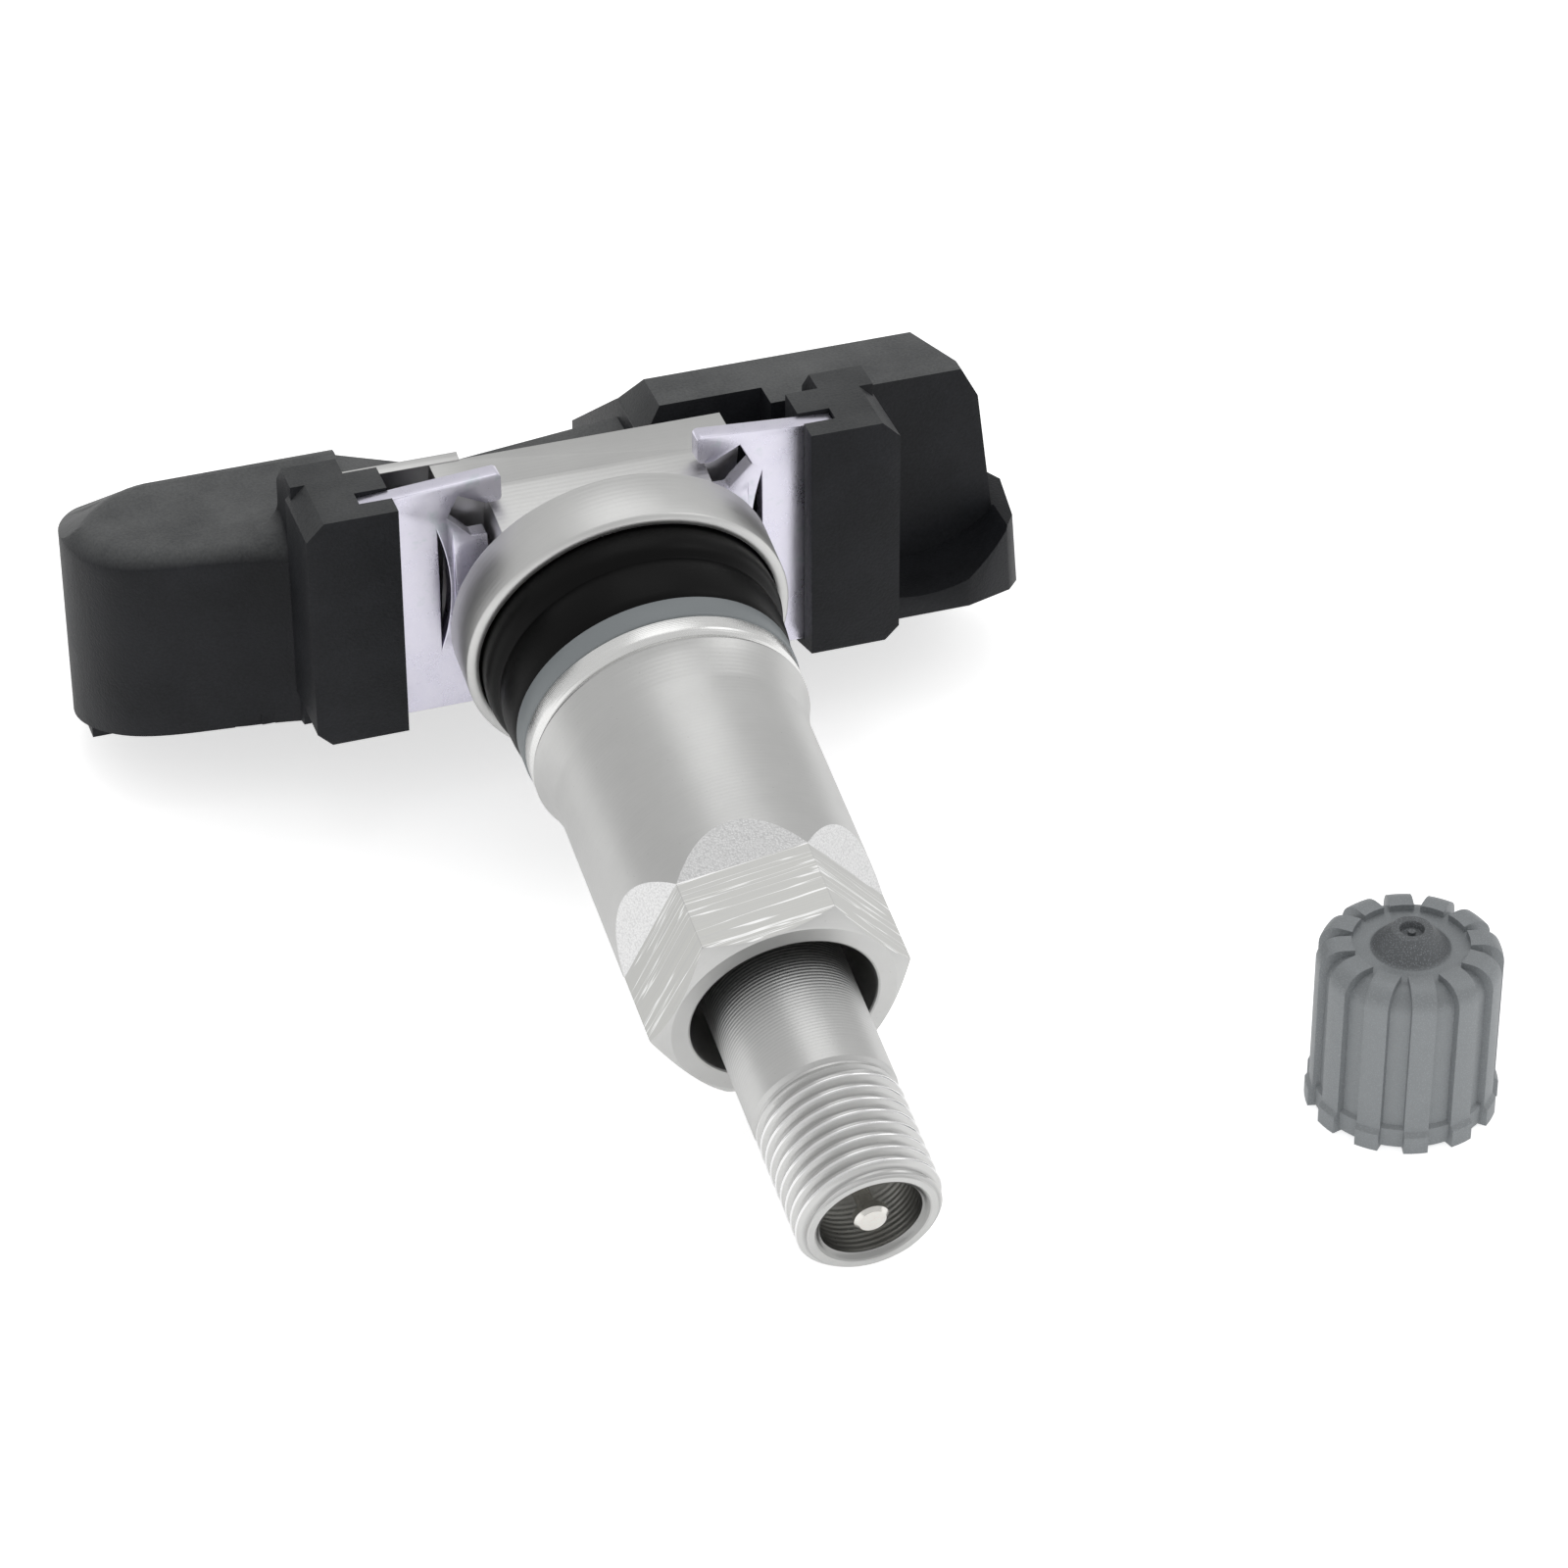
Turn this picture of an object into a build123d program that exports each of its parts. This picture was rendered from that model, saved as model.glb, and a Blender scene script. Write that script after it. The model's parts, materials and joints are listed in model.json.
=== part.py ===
from build123d import *
from math import cos, radians, sin, tan
import os

# Tyre pressure sensor with a clamp-in valve, laid down with its cap off and standing beside it.
# The origin is the middle of the flange's front face: +X to the right, +Z up, the valve's tip
# towards -Y. The valve leans below the level by valve_tilt, so that its tip touches the floor.

# Valve, from the flange's front at 0 towards the tip
valve_tilt = 12.5
crest_r = 3.87
stem_length = 41.6
tip_chamfer = 0.5
thread_length = 6.45
relief_width = 0.6
relief_depth = 0.25
flange_r = 9.0
flange_back = 2.8
cup_lip = 0.6
cup_depth = 0.5
cup_r = 8.3
neck_width = 12.0
neck_top = 5.2
neck_bottom = 5.0
head_front = 7.0
head_back = 10.3
head_width = 16.4
head_bevel_start = 8.4
head_bevel_drop = 0.6
head_corner = 0.9
lug_reach = 12.9
lug_low = 0.5
lug_drop = 0.5
lug_front = 8.8
lug_back = 10.8
port_r = 2.67
port_mouth_r = 2.98
chamber_r = 2.2
airway_r = 1.2
port_depth = 5.6
chamber_depth = 14.1

# Seal and rings
seal_r = 8.2
seal_step = 2.35
seal_cone_r = 7.98
seal_front_r = 7.72
seal_front = 5.3
seal_neck_r = 5.55
seal_neck_front = 7.4
ring_bore_clearance = 0.05
ring_r = 7.7
ring_thickness = 1.35
washer_r = 7.62
washer_thickness = 1.28
washer_bevel = 0.32

# Sleeve nut
nut_foot_r = 7.25
nut_bead_r = 7.62
nut_bead_rise = 0.37
nut_flare_mid_r = 7.38
nut_flare_mid = 1.45
nut_flare_length = 2.6
nut_r = 6.98
nut_end = 27.45
hex_flats = 12.1
hex_turn = 9.8
hex_chord = 22.4
hex_peak = 20.3
nut_end_bevel = 0.7
nut_skirt_r = 4.97
nut_skirt_depth = 8.0
thread_clearance = 0.05
nut_neck_depth = 1.7
nut_neck_r = 5.75
foot_gap = 0.01

# Valve core
core_plug_top = 3.0
core_plug_height = 2.5
core_length = 8.0
core_r = 1.6
core_guide_r = 0.7
core_room_r = 1.2
core_room_rise = 1.0
core_room_height = 5.2
pin_r = 0.65
pin_neck_r = 0.45
pin_head_r = 0.91
pin_head_length = 0.55
pin_sunk = 0.1
pin_collar_r = 1.14
pin_collar_drop = 2.45
pin_collar_height = 0.5
pin_button_r = 0.95
pin_button_length = 0.4
poppet_r = 1.7
poppet_length = 1.2
seal_ring_drop = 1.1
seal_ring_height = 1.6
spring_wire_r = 0.13
spring_coil_r = 0.93
spring_turns = 4

# Bracket, level axes
plate_front = 4.35
sheet = 1.0
plate_half = 13.2
plate_bottom = -5.8
plate_top = 8.45
neck_gap = 0.35
opening_bottom = -4.4
hook_low = 6.75
hook_reach = 5.45
hook_round = 0.3
notch_x = 8.5
notch_low = 4.9
notch_high = 7.5
notch_slant = 1.3
slit_x = 9.05
slit_inner_x = 8.45
slit_top = 5.4
slit_bottom = -1.9
leaf_bow = 0.45
leaf_edge = 0.2

# Housing, level axes
pillar_inner = 11.45
pillar_outer = 16.5
pillar_front = 3.0
pillar_back = 7.5
pillar_top = 8.15
pillar_bottom = -5.95
pillar_corner = 1.0
pillar_toe = 0.8
slot_gap = 0.04
rib_inner = 13.3
rib_outer = 16.3
rib_back = 10.2
base_slope = 16.5
housing_back = 25.6
left_top = 4.0
left_rim_round = 1.3
lobe_wall_x = 15.0
lobe_wall_y = 7.0
lobe_knee_x = 21.6
lobe_knee_y = 8.9
lobe_bend_x = 25.6
lobe_bend_y = 10.4
lobe_end_x = 27.6
lobe_end_y = 14.0
lobe_rear_x = 26.0
lobe_rear_y = 20.5
lobe_back_x = 10.0
corner_x = 22.3
corner_r = 5.6
right_top = 6.1
hump_left = 5.2
dip_x = 6.0
dip_z = 1.75
dip_rise = 0.1
dip_left_rise = 0.33
dip_right = 4.6
wall_top_x = 22.5
wall_bend_x = 23.5
wall_bend_drop = 1.9
wall_foot_x = 24.4
ledge_front_x = 21.8
ledge_front_y = 5.4
ledge_corner_x = 24.9
ledge_corner_y = 6.9
ledge_side_x = 25.9
ledge_side_y = 8.4
ledge_end_x = 26.7
ledge_end_y = 13.2
ledge_rear_x = 24.8
ledge_rear_y = 14.8
ledge_inner_x = 15.0
back_edge_y = 16.4
back_slope = 36.9
pocket_left = -9.4
pocket_back = 11.7
pocket_floor = -4.4
lug_room_front = 7.0
lug_room_floor = -0.3
floor_front = 6.2
right_wall_front = 10.0
right_ledge_z = -3.2
right_foot_draft = 4
scoop_x = 19.0
scoop_z = 2.0
scoop_r = 7.6
foot_x = 18.0
foot_y = 24.3
foot_width = 4.0
foot_length = 2.4
stop_z = -9.75
stop_x = 26.6
stop_y = 14.0
stop_width = 1.3
stop_length = 1.6
foot_height = 1.2
reach = 60.0
margin = 1.0
edge_near = 0.01

# Hollow and electronics, on the sloping underside: x across, y to the rear, z up
cover_thickness = 1.2
cover_margin = 0.55
fit_gap = 0.03
ceiling = 2.6
battery_x = -17.4
battery_y = 12.5
battery_r = 6.25
battery_gap = 0.3
battery_room = 5.5
middle_front = 5.9
middle_back = 17.6
room_left = 12.3
room_right = 21.0
room_front = 8.6
room_back = 16.5
room_mid = (room_front + room_back) / 2
parts_room = 5.5
board_thickness = 0.8
board_gap = 0.25
tab_thickness = 0.2
tab_width = 3.0
lid_rise = 0.3
lid_height = 0.4
lid_r = 5.2
gasket_width = 0.5
can_height = 2.2
port_x = 16.2
port_y = 12.2
air_port_r = 0.6
filter_r = 1.5
filter_thickness = 0.25
chip_x = 15.2
chip_y = 11.8
chip_size = 4.2
chip_height = 1.6
coil_x = 19.05
coil_width = 2.2
coil_height = 2.6
coil_length = 6.0
coil_cheek = 0.9
coil_waist = 1.0
winding_depth = 0.45
antenna_height = 1.6
crystal_x = 14.2
small_parts_y = 14.85
capacitor_x = 16.75

# Cap, standing on its mouth
cap_x = 30.5
cap_y = -35.3
cap_height = 10.6
cap_r = 4.38
rib_r = 4.75
rib_height = 0.37
rib_inner_r = 3.0
cap_foot_r = 4.6
rib_foot_r = 4.95
rib_foot_height = 1.0
cap_foot_height = 1.25
cap_bore_r = crest_r + 0.06
cap_seat_r = 3.6
cap_roof = 2.1
cap_dome = 1.2
cap_cone_r = 2.05
cap_cone_top_r = 1.05
cap_cone_height = 0.75
cap_dimple_r = 0.65
cap_ribs = 12
cap_rib_width = 1.25
cap_turn = 15.8
washer_height = 0.9
cap_bore_depth = cap_height - cap_roof - washer_height

# The tip's lowest corner and the rear feet stand on one floor
lean = radians(valve_tilt)
tip_corner = stem_length - tip_chamfer
relief_high = tip_corner - thread_length
relief_low = relief_high - relief_width
chamber_bottom = stem_length - chamber_depth
axis_height = tip_corner * sin(lean) + crest_r * cos(lean)
across = Plane(origin=(0, 0, 0), x_dir=(1, 0, 0), z_dir=(0, -cos(lean), -sin(lean)))
profile = Plane(origin=(0, 0, 0), x_dir=(1, 0, 0), z_dir=(0, sin(lean), -cos(lean)))
side = Plane(origin=(0, 0, 0), x_dir=(0, -sin(lean), cos(lean)), z_dir=(1, 0, 0))
stem_axis = Axis((0, 0, 0), (0, -cos(lean), -sin(lean)))
up_axis = Axis((0, 0, 0), (0, -sin(lean), cos(lean)))
fall = radians(base_slope)
base = Plane(origin=(0, pillar_front, pillar_bottom), x_dir=(1, 0, 0), z_dir=(0, sin(fall), cos(fall)))

os.makedirs("parts", exist_ok=True)

# Valve stem: head, neck, cupped flange and stem in one
with BuildPart() as valve_stem:
    with BuildSketch(profile):
        Polygon(
            (0, -flange_back),
            (flange_r, -flange_back),
            (flange_r, cup_lip - 0.35),
            (flange_r - 0.25, cup_lip),
            (cup_r + 0.15, cup_lip),
            (cup_r, cup_lip - 0.2),
            (cup_r, -cup_depth),
            (crest_r, -cup_depth),
            (crest_r, relief_low),
            (crest_r - relief_depth, relief_low + 0.1),
            (crest_r - relief_depth, relief_high - 0.1),
            (crest_r, relief_high),
            (crest_r, tip_corner),
            (crest_r - tip_chamfer, stem_length),
            (0, stem_length),
            align=None,
        )
    revolve(axis=stem_axis)
    with BuildSketch(side):
        Polygon(
            (neck_top, -flange_back + cup_depth),
            (neck_top, -head_front),
            (-neck_bottom, -head_front),
            (-neck_bottom, -flange_back + cup_depth),
            align=None,
        )
    extrude(amount=neck_width / 2, both=True)
    with BuildSketch(side):
        Polygon(
            (neck_top, -head_front),
            (neck_top, -head_bevel_start),
            (neck_top - head_bevel_drop, -head_back),
            (-neck_bottom, -head_back),
            (-neck_bottom, -head_front),
            align=None,
        )
    extrude(amount=head_width / 2, both=True)
    chamfer(valve_stem.edges().filter_by(up_axis).group_by(stem_axis)[0], head_corner)
    with BuildSketch(across.offset(-lug_back)):
        with Locations((-(lug_reach + neck_width / 2) / 2, (lug_low + neck_top - lug_drop) / 2)):
            Rectangle(lug_reach - neck_width / 2, neck_top - lug_drop - lug_low)
    extrude(amount=lug_back - lug_front)
    with BuildSketch(profile):
        Polygon(
            (0, stem_length),
            (port_mouth_r, stem_length),
            (port_r, stem_length - 0.3),
            (port_r, stem_length - port_depth),
            (chamber_r, stem_length - port_depth - 0.8),
            (chamber_r, chamber_bottom),
            (airway_r, chamber_bottom - 1.0),
            (airway_r, -lug_back),
            (0, -lug_back),
            align=None,
        )
    revolve(axis=stem_axis, mode=Mode.SUBTRACT)
valve_stem.part.label = "valve_stem"
export_step(valve_stem.part, "parts/valve_stem.step")

# Rim seal: stepped rubber grommet in the flange's cup
with BuildPart() as rim_seal:
    with BuildSketch(profile):
        Polygon(
            (crest_r, -cup_depth),
            (cup_r, -cup_depth),
            (cup_r, cup_lip - 0.2),
            (seal_r, cup_lip),
            (seal_r, seal_step),
            (seal_cone_r, seal_step + 0.15),
            (seal_front_r, seal_front),
            (seal_neck_r, seal_front),
            (seal_neck_r, seal_neck_front),
            (crest_r, seal_neck_front),
            align=None,
        )
    revolve(axis=stem_axis)
rim_seal.part.label = "rim_seal"
export_step(rim_seal.part, "parts/rim_seal.step")

# Thrust ring and washer between the seal and the nut
ring_front = seal_front + ring_thickness
washer_front = ring_front + washer_thickness
ring_bore_r = seal_neck_r + ring_bore_clearance
with BuildPart() as thrust_ring:
    with BuildSketch(across.offset(seal_front)):
        Circle(ring_r)
        Circle(ring_bore_r, mode=Mode.SUBTRACT)
    extrude(amount=ring_thickness)
    chamfer(thrust_ring.edges().filter_by(GeomType.CIRCLE).group_by(SortBy.RADIUS)[-1], 0.12)
thrust_ring.part.label = "thrust_ring"
export_step(thrust_ring.part, "parts/thrust_ring.step")

with BuildPart() as collar_washer:
    with BuildSketch(profile):
        Polygon(
            (ring_bore_r, ring_front),
            (washer_r - 0.1, ring_front),
            (washer_r, ring_front + 0.1),
            (washer_r, washer_front - washer_bevel),
            (washer_r - washer_bevel, washer_front),
            (ring_bore_r, washer_front),
            align=None,
        )
    revolve(axis=stem_axis)
collar_washer.part.label = "collar_washer"
export_step(collar_washer.part, "parts/collar_washer.step")

# One flat of the nut: a sloping run-out, then the flat itself
with BuildPart() as flat_cutter:
    with BuildSketch(Plane.XZ):
        Polygon(
            (nut_r, hex_peak),
            (hex_flats / 2, hex_chord),
            (hex_flats / 2, nut_end + 1),
            (nut_r + 2, nut_end + 1),
            (nut_r + 2, hex_peak),
            align=None,
        )
    extrude(amount=nut_r, both=True)

# Sleeve nut: flared foot, round sleeve, six-sided end, open skirt over the thread
nut_foot = washer_front + foot_gap
thread_r = crest_r + thread_clearance
with BuildPart(across) as sleeve_nut:
    with BuildSketch(profile):
        with BuildLine():
            Polyline(
                (nut_neck_r, nut_foot),
                (nut_foot_r, nut_foot),
                (nut_bead_r, nut_foot + nut_bead_rise),
            )
            ThreePointArc(
                (nut_bead_r, nut_foot + nut_bead_rise),
                (nut_flare_mid_r, nut_foot + nut_flare_mid),
                (nut_r, nut_foot + nut_flare_length),
            )
            Polyline(
                (nut_r, nut_foot + nut_flare_length),
                (nut_r, nut_end - nut_end_bevel),
                (hex_flats / 2, nut_end),
                (nut_skirt_r + 0.15, nut_end),
                (nut_skirt_r, nut_end - 0.15),
                (nut_skirt_r, nut_end - nut_skirt_depth),
                (thread_r, nut_end - nut_skirt_depth - 0.6),
                (thread_r, nut_foot + nut_neck_depth),
                (nut_neck_r, nut_foot + nut_neck_depth),
                (nut_neck_r, nut_foot),
            )
        make_face()
    revolve(axis=stem_axis)
    with PolarLocations(0, 6, start_angle=30 + hex_turn):
        add(flat_cutter.part, mode=Mode.SUBTRACT)
sleeve_nut.part.label = "sleeve_nut"
export_step(sleeve_nut.part, "parts/sleeve_nut.step")

# Valve core: barrel, seal ring, pin with its poppet, spring, all placed from the stem's tip
core_plug_high = stem_length - core_plug_top
core_plug_low = core_plug_high - core_plug_height
core_low = core_plug_high - core_length
core_room_low = core_low + core_room_rise
core_room_high = core_room_low + core_room_height
pin_top = stem_length - pin_sunk
pin_collar_high = core_plug_high - pin_collar_drop + pin_collar_height
pin_collar_low = pin_collar_high - pin_collar_height
seal_ring_high = core_plug_low - seal_ring_drop
seal_ring_low = seal_ring_high - seal_ring_height
with BuildPart() as core_barrel:
    with BuildSketch(profile):
        Polygon(
            (core_guide_r, core_low),
            (core_r, core_low),
            (core_r, core_plug_low),
            (port_r, core_plug_low),
            (port_r, core_plug_high),
            (core_guide_r, core_plug_high),
            (core_guide_r, core_room_high),
            (core_room_r, core_room_high),
            (core_room_r, core_room_low),
            (core_guide_r, core_room_low),
            align=None,
        )
    revolve(axis=stem_axis)
core_barrel.part.label = "core_barrel"
export_step(core_barrel.part, "parts/core_barrel.step")

with BuildPart() as core_seal:
    with BuildSketch(across.offset(seal_ring_low)):
        Circle(chamber_r)
        Circle(core_r, mode=Mode.SUBTRACT)
    extrude(amount=seal_ring_high - seal_ring_low)
core_seal.part.label = "core_seal"
export_step(core_seal.part, "parts/core_seal.step")

pin_bottom = core_low - poppet_length - pin_button_length
with BuildPart() as core_pin:
    with BuildSketch(profile):
        Polygon(
            (0, pin_bottom),
            (pin_button_r, pin_bottom),
            (pin_button_r, pin_bottom + pin_button_length),
            (pin_r, pin_bottom + pin_button_length),
            (pin_r, pin_collar_low),
            (pin_collar_r, pin_collar_low),
            (pin_collar_r, pin_collar_high),
            (pin_r, pin_collar_high),
            (pin_r, core_plug_high + 0.4),
            (pin_neck_r, core_plug_high + 0.6),
            (pin_neck_r, pin_top - pin_head_length),
            (pin_head_r, pin_top - pin_head_length),
            (pin_head_r, pin_top - 0.2),
            (pin_head_r - 0.2, pin_top),
            (0, pin_top),
            align=None,
        )
    revolve(axis=stem_axis)
core_pin.part.label = "core_pin"
export_step(core_pin.part, "parts/core_pin.step")

with BuildPart() as core_poppet:
    with BuildSketch(across.offset(core_low - poppet_length)):
        Circle(poppet_r)
        Circle(pin_r, mode=Mode.SUBTRACT)
    extrude(amount=poppet_length)
core_poppet.part.label = "core_poppet"
export_step(core_poppet.part, "parts/core_poppet.step")

spring_low = core_room_low + spring_wire_r
spring_high = pin_collar_low - spring_wire_r
with BuildPart() as core_spring:
    with BuildLine():
        coil = Helix(
            pitch=(spring_high - spring_low) / spring_turns,
            height=spring_high - spring_low,
            radius=spring_coil_r,
            center=stem_axis.direction * spring_low,
            direction=stem_axis.direction,
        )
    with BuildSketch(Plane(origin=coil @ 0, z_dir=coil % 0)):
        Circle(spring_wire_r)
    sweep()
core_spring.part.label = "core_spring"
export_step(core_spring.part, "parts/core_spring.step")

# Mounting bracket: bowed leaves, the neck's opening, two hooks, relief notches and lens slits
opening_half = neck_width / 2 + neck_gap
leaf_outer = slit_inner_x - leaf_edge
slit_mid = (slit_top + slit_bottom) / 2
plate_back = plate_front + sheet
with BuildPart() as mounting_bracket:
    with BuildSketch(Plane.XZ.offset(-plate_back)):
        with Locations((0, (plate_top + plate_bottom) / 2)):
            Rectangle(2 * plate_half, plate_top - plate_bottom)
    extrude(amount=sheet)
    for face_y, how in ((plate_front, Mode.ADD), (plate_back, Mode.SUBTRACT)):
        with BuildSketch(Plane.YZ.offset(-leaf_outer)):
            with BuildLine():
                Line((face_y, slit_bottom), (face_y, slit_top - leaf_edge))
                ThreePointArc(
                    (face_y, slit_top - leaf_edge),
                    (face_y - leaf_bow, slit_mid),
                    (face_y, slit_bottom),
                )
            make_face()
        extrude(amount=2 * leaf_outer, mode=how)
    with BuildSketch(Plane.XZ.offset(-plate_back)):
        with Locations((0, (hook_low + opening_bottom) / 2)):
            Rectangle(2 * opening_half, hook_low - opening_bottom)
        with Locations((0, (hook_low + plate_top) / 2)):
            Rectangle(2 * hook_reach, plate_top - hook_low)
        for end in (-1, 1):
            Polygon(
                (end * opening_half, notch_low),
                (end * (notch_x - notch_slant), notch_low),
                (end * notch_x, notch_low + notch_slant),
                (end * (notch_x - notch_slant / 2), notch_high),
                (end * opening_half, hook_low),
                align=None,
            )
            with BuildLine():
                Line((end * slit_x, slit_bottom), (end * slit_x, slit_top))
                ThreePointArc(
                    (end * slit_x, slit_top),
                    (end * slit_inner_x, slit_mid),
                    (end * slit_x, slit_bottom),
                )
            make_face()
    extrude(amount=sheet + leaf_bow + 1, mode=Mode.SUBTRACT)
    hook_ends = mounting_bracket.edges().filter_by(Axis.Y).filter_by_position(Axis.X, -hook_reach, hook_reach)
    fillet(hook_ends.filter_by_position(Axis.Z, hook_low, plate_top), hook_round)
mounting_bracket.part.label = "mounting_bracket"
export_step(mounting_bracket.part, "parts/mounting_bracket.step")

# Housing: two lobes, pillars, the pocket for the valve's head and the hollow for the electronics
bottom = -axis_height - 1.3
rear = housing_back + 5
slope_run = 1 / tan(radians(back_slope))
corner_y = back_edge_y - corner_r
corner_axis = Axis((-corner_x, corner_y, 0), (0, 0, -1))
corner_profile = Plane(origin=(-corner_x, corner_y, 0), x_dir=(-1, 0, 0), z_dir=(0, 1, 0))
right_cut = Plane(origin=(wall_top_x + 0.1, 10.7, right_top), x_dir=(-2.2, 4.3, 0), z_dir=(64.9, 33.2, 28.4))


def underside(edge):
    """The hollow seen from below, grown by a margin: battery end, middle and component end."""
    with Locations((battery_x, battery_y)):
        Circle(battery_r + battery_gap + edge)
    with Locations(((battery_x + room_left) / 2, (middle_front + middle_back) / 2)):
        Rectangle(room_left - battery_x + 2, middle_back - middle_front + 2 * edge)
    with Locations(((room_left + room_right) / 2, (room_front + room_back) / 2)):
        Rectangle(room_right - room_left + 2 * edge, room_back - room_front + 2 * edge)


with BuildPart() as housing:
    # Left lobe, low
    with BuildSketch(Plane.XY.offset(bottom)):
        with BuildLine():
            Polyline(
                (-lobe_back_x, rear),
                (0, rear),
                (0, pocket_back),
                (-rib_inner, pocket_back),
                (-rib_inner, lobe_wall_y),
                (-lobe_wall_x, lobe_wall_y),
            )
            Spline(
                (-lobe_wall_x, lobe_wall_y),
                (-lobe_knee_x, lobe_knee_y),
                (-lobe_bend_x, lobe_bend_y),
                (-lobe_end_x, lobe_end_y),
                (-lobe_rear_x, lobe_rear_y),
                (-lobe_back_x, rear),
            )
        make_face()
    extrude(amount=left_top - bottom)
    with BuildSketch(corner_profile):
        Polygon(
            (corner_r, left_top),
            (corner_r, left_top + margin),
            (corner_r + reach, left_top + margin),
            (corner_r + reach, left_top - reach / slope_run),
            align=None,
        )
    revolve(axis=corner_axis, revolution_arc=90, mode=Mode.SUBTRACT)
    # Right lobe, higher, on a wider foot
    with BuildSketch(Plane.XZ.offset(-rear)):
        Polygon(
            (-margin, bottom),
            (-margin, left_top),
            (dip_right, left_top),
            (dip_right + margin, right_top),
            (wall_top_x, right_top),
            (wall_bend_x, right_top - wall_bend_drop),
            (wall_foot_x, right_ledge_z),
            (wall_foot_x, bottom),
            align=None,
        )
    extrude(amount=rear - pocket_back)
    with BuildSketch(Plane.XZ.offset(-pocket_back - 1)):
        Polygon(
            (pillar_inner, bottom),
            (pillar_inner, right_top),
            (wall_top_x, right_top),
            (wall_bend_x, right_top - wall_bend_drop),
            (wall_foot_x, right_ledge_z),
            (wall_foot_x, bottom),
            align=None,
        )
    extrude(amount=pocket_back + 1 - right_wall_front)
    with BuildSketch(Plane.XY.offset(bottom)):
        Polygon(
            (pillar_inner, pillar_back - margin),
            (ledge_inner_x, ledge_front_y),
            (ledge_front_x, ledge_front_y),
            (ledge_corner_x, ledge_corner_y),
            (ledge_side_x, ledge_side_y),
            (ledge_end_x, ledge_end_y),
            (ledge_rear_x, ledge_rear_y),
            (ledge_rear_x, rear),
            (pillar_inner, rear),
            align=None,
        )
    extrude(amount=right_ledge_z - bottom, taper=right_foot_draft)
    with BuildSketch(Plane.XZ.offset(-right_wall_front)):
        with Locations((scoop_x, scoop_z)):
            Circle(scoop_r)
    extrude(amount=right_wall_front, mode=Mode.SUBTRACT)
    # Floor under the valve's head, and the block beside it under the lug
    with BuildSketch(Plane.XY.offset(bottom)):
        with Locations(((pillar_inner - rib_inner - 0.5) / 2, (floor_front + pocket_back + 1) / 2)):
            Rectangle(pillar_inner + rib_inner + 0.5, pocket_back + 1 - floor_front)
    extrude(amount=pocket_floor - bottom)
    with BuildSketch(Plane.XY.offset(bottom)):
        with Locations(((pocket_left - rib_inner - 0.5) / 2, (lug_room_front + pocket_back + 1) / 2)):
            Rectangle(rib_inner + 0.5 + pocket_left, pocket_back + 1 - lug_room_front)
    extrude(amount=lug_room_floor - bottom)
    # Back sloping down, lower still behind the valve, and the slanting right corner
    with BuildSketch(Plane.YZ.offset(-reach)):
        Polygon(
            (back_edge_y, left_top),
            (back_edge_y - reach * slope_run, left_top + reach),
            (back_edge_y + reach, left_top + reach),
            (back_edge_y + reach, left_top - reach / slope_run),
            align=None,
        )
        with Locations((housing_back + reach / 2, bottom)):
            Rectangle(reach, reach)
    extrude(amount=2 * reach, mode=Mode.SUBTRACT)
    for end, rise, length in ((1, dip_rise, dip_x + dip_right), (-1, dip_left_rise, dip_x)):
        with BuildSketch(Plane.YZ.offset(-dip_x)):
            Polygon(
                (pocket_back - margin, dip_z),
                (back_edge_y, dip_z),
                (back_edge_y + reach, dip_z - reach / slope_run),
                (back_edge_y + reach, left_top + margin),
                (pocket_back - margin, left_top + margin),
                align=None,
            )
        extrude(amount=length, dir=(end, 0, rise), mode=Mode.SUBTRACT)
    with BuildSketch(right_cut):
        Rectangle(reach, reach)
    extrude(amount=reach, mode=Mode.SUBTRACT)
    # Pillars, with ribs back to the lobes
    for end in (-1, 1):
        with BuildSketch(Plane.XZ.offset(-pillar_back)):
            Polygon(
                (end * pillar_inner, bottom),
                (end * pillar_inner, pillar_top),
                (end * (pillar_outer - pillar_corner), pillar_top),
                (end * pillar_outer, pillar_top - pillar_corner),
                (end * pillar_outer, pillar_bottom + pillar_toe),
                (end * (pillar_outer - pillar_toe), pillar_bottom),
                (end * (pillar_outer - pillar_toe), bottom),
                align=None,
            )
        extrude(amount=pillar_back - pillar_front)
        with BuildSketch(Plane.YZ.offset(end * rib_inner)):
            Polygon(
                (pillar_back - 0.5, bottom),
                (pillar_back - 0.5, pillar_top),
                (rib_back - 1.2, pillar_top),
                (rib_back, pillar_top - 1.4),
                (rib_back + 1, bottom),
                align=None,
            )
        extrude(amount=end * (rib_outer - rib_inner))
    # Sloping underside
    with BuildSketch(base):
        Rectangle(2 * reach, 2 * reach)
    extrude(amount=-reach, mode=Mode.SUBTRACT)
    # Rounded rim of the left lobe
    rim = housing.edges().filter_by_position(Axis.Z, left_top - edge_near, left_top + edge_near)
    fillet(rim.filter_by_position(Axis.X, -reach, edge_near - rib_outer), left_rim_round)
    # Rear feet, flat on the floor, and the small stop at the left end
    with BuildSketch(Plane.XY.offset(-axis_height)):
        with Locations((-foot_x, foot_y), (foot_x, foot_y)):
            Rectangle(foot_width, foot_length)
    extrude(amount=foot_height)
    with BuildSketch(Plane.XY.offset(stop_z)):
        with Locations((-stop_x, stop_y)):
            Rectangle(stop_width, stop_length)
    extrude(amount=stop_length)
    # Slots for the bracket
    with BuildSketch(Plane.XY.offset(plate_bottom - slot_gap)):
        with Locations((0, (plate_front + plate_back) / 2)):
            Rectangle(2 * (plate_half + slot_gap), sheet + 2 * slot_gap)
    extrude(amount=plate_top - plate_bottom + 1, mode=Mode.SUBTRACT)
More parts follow.
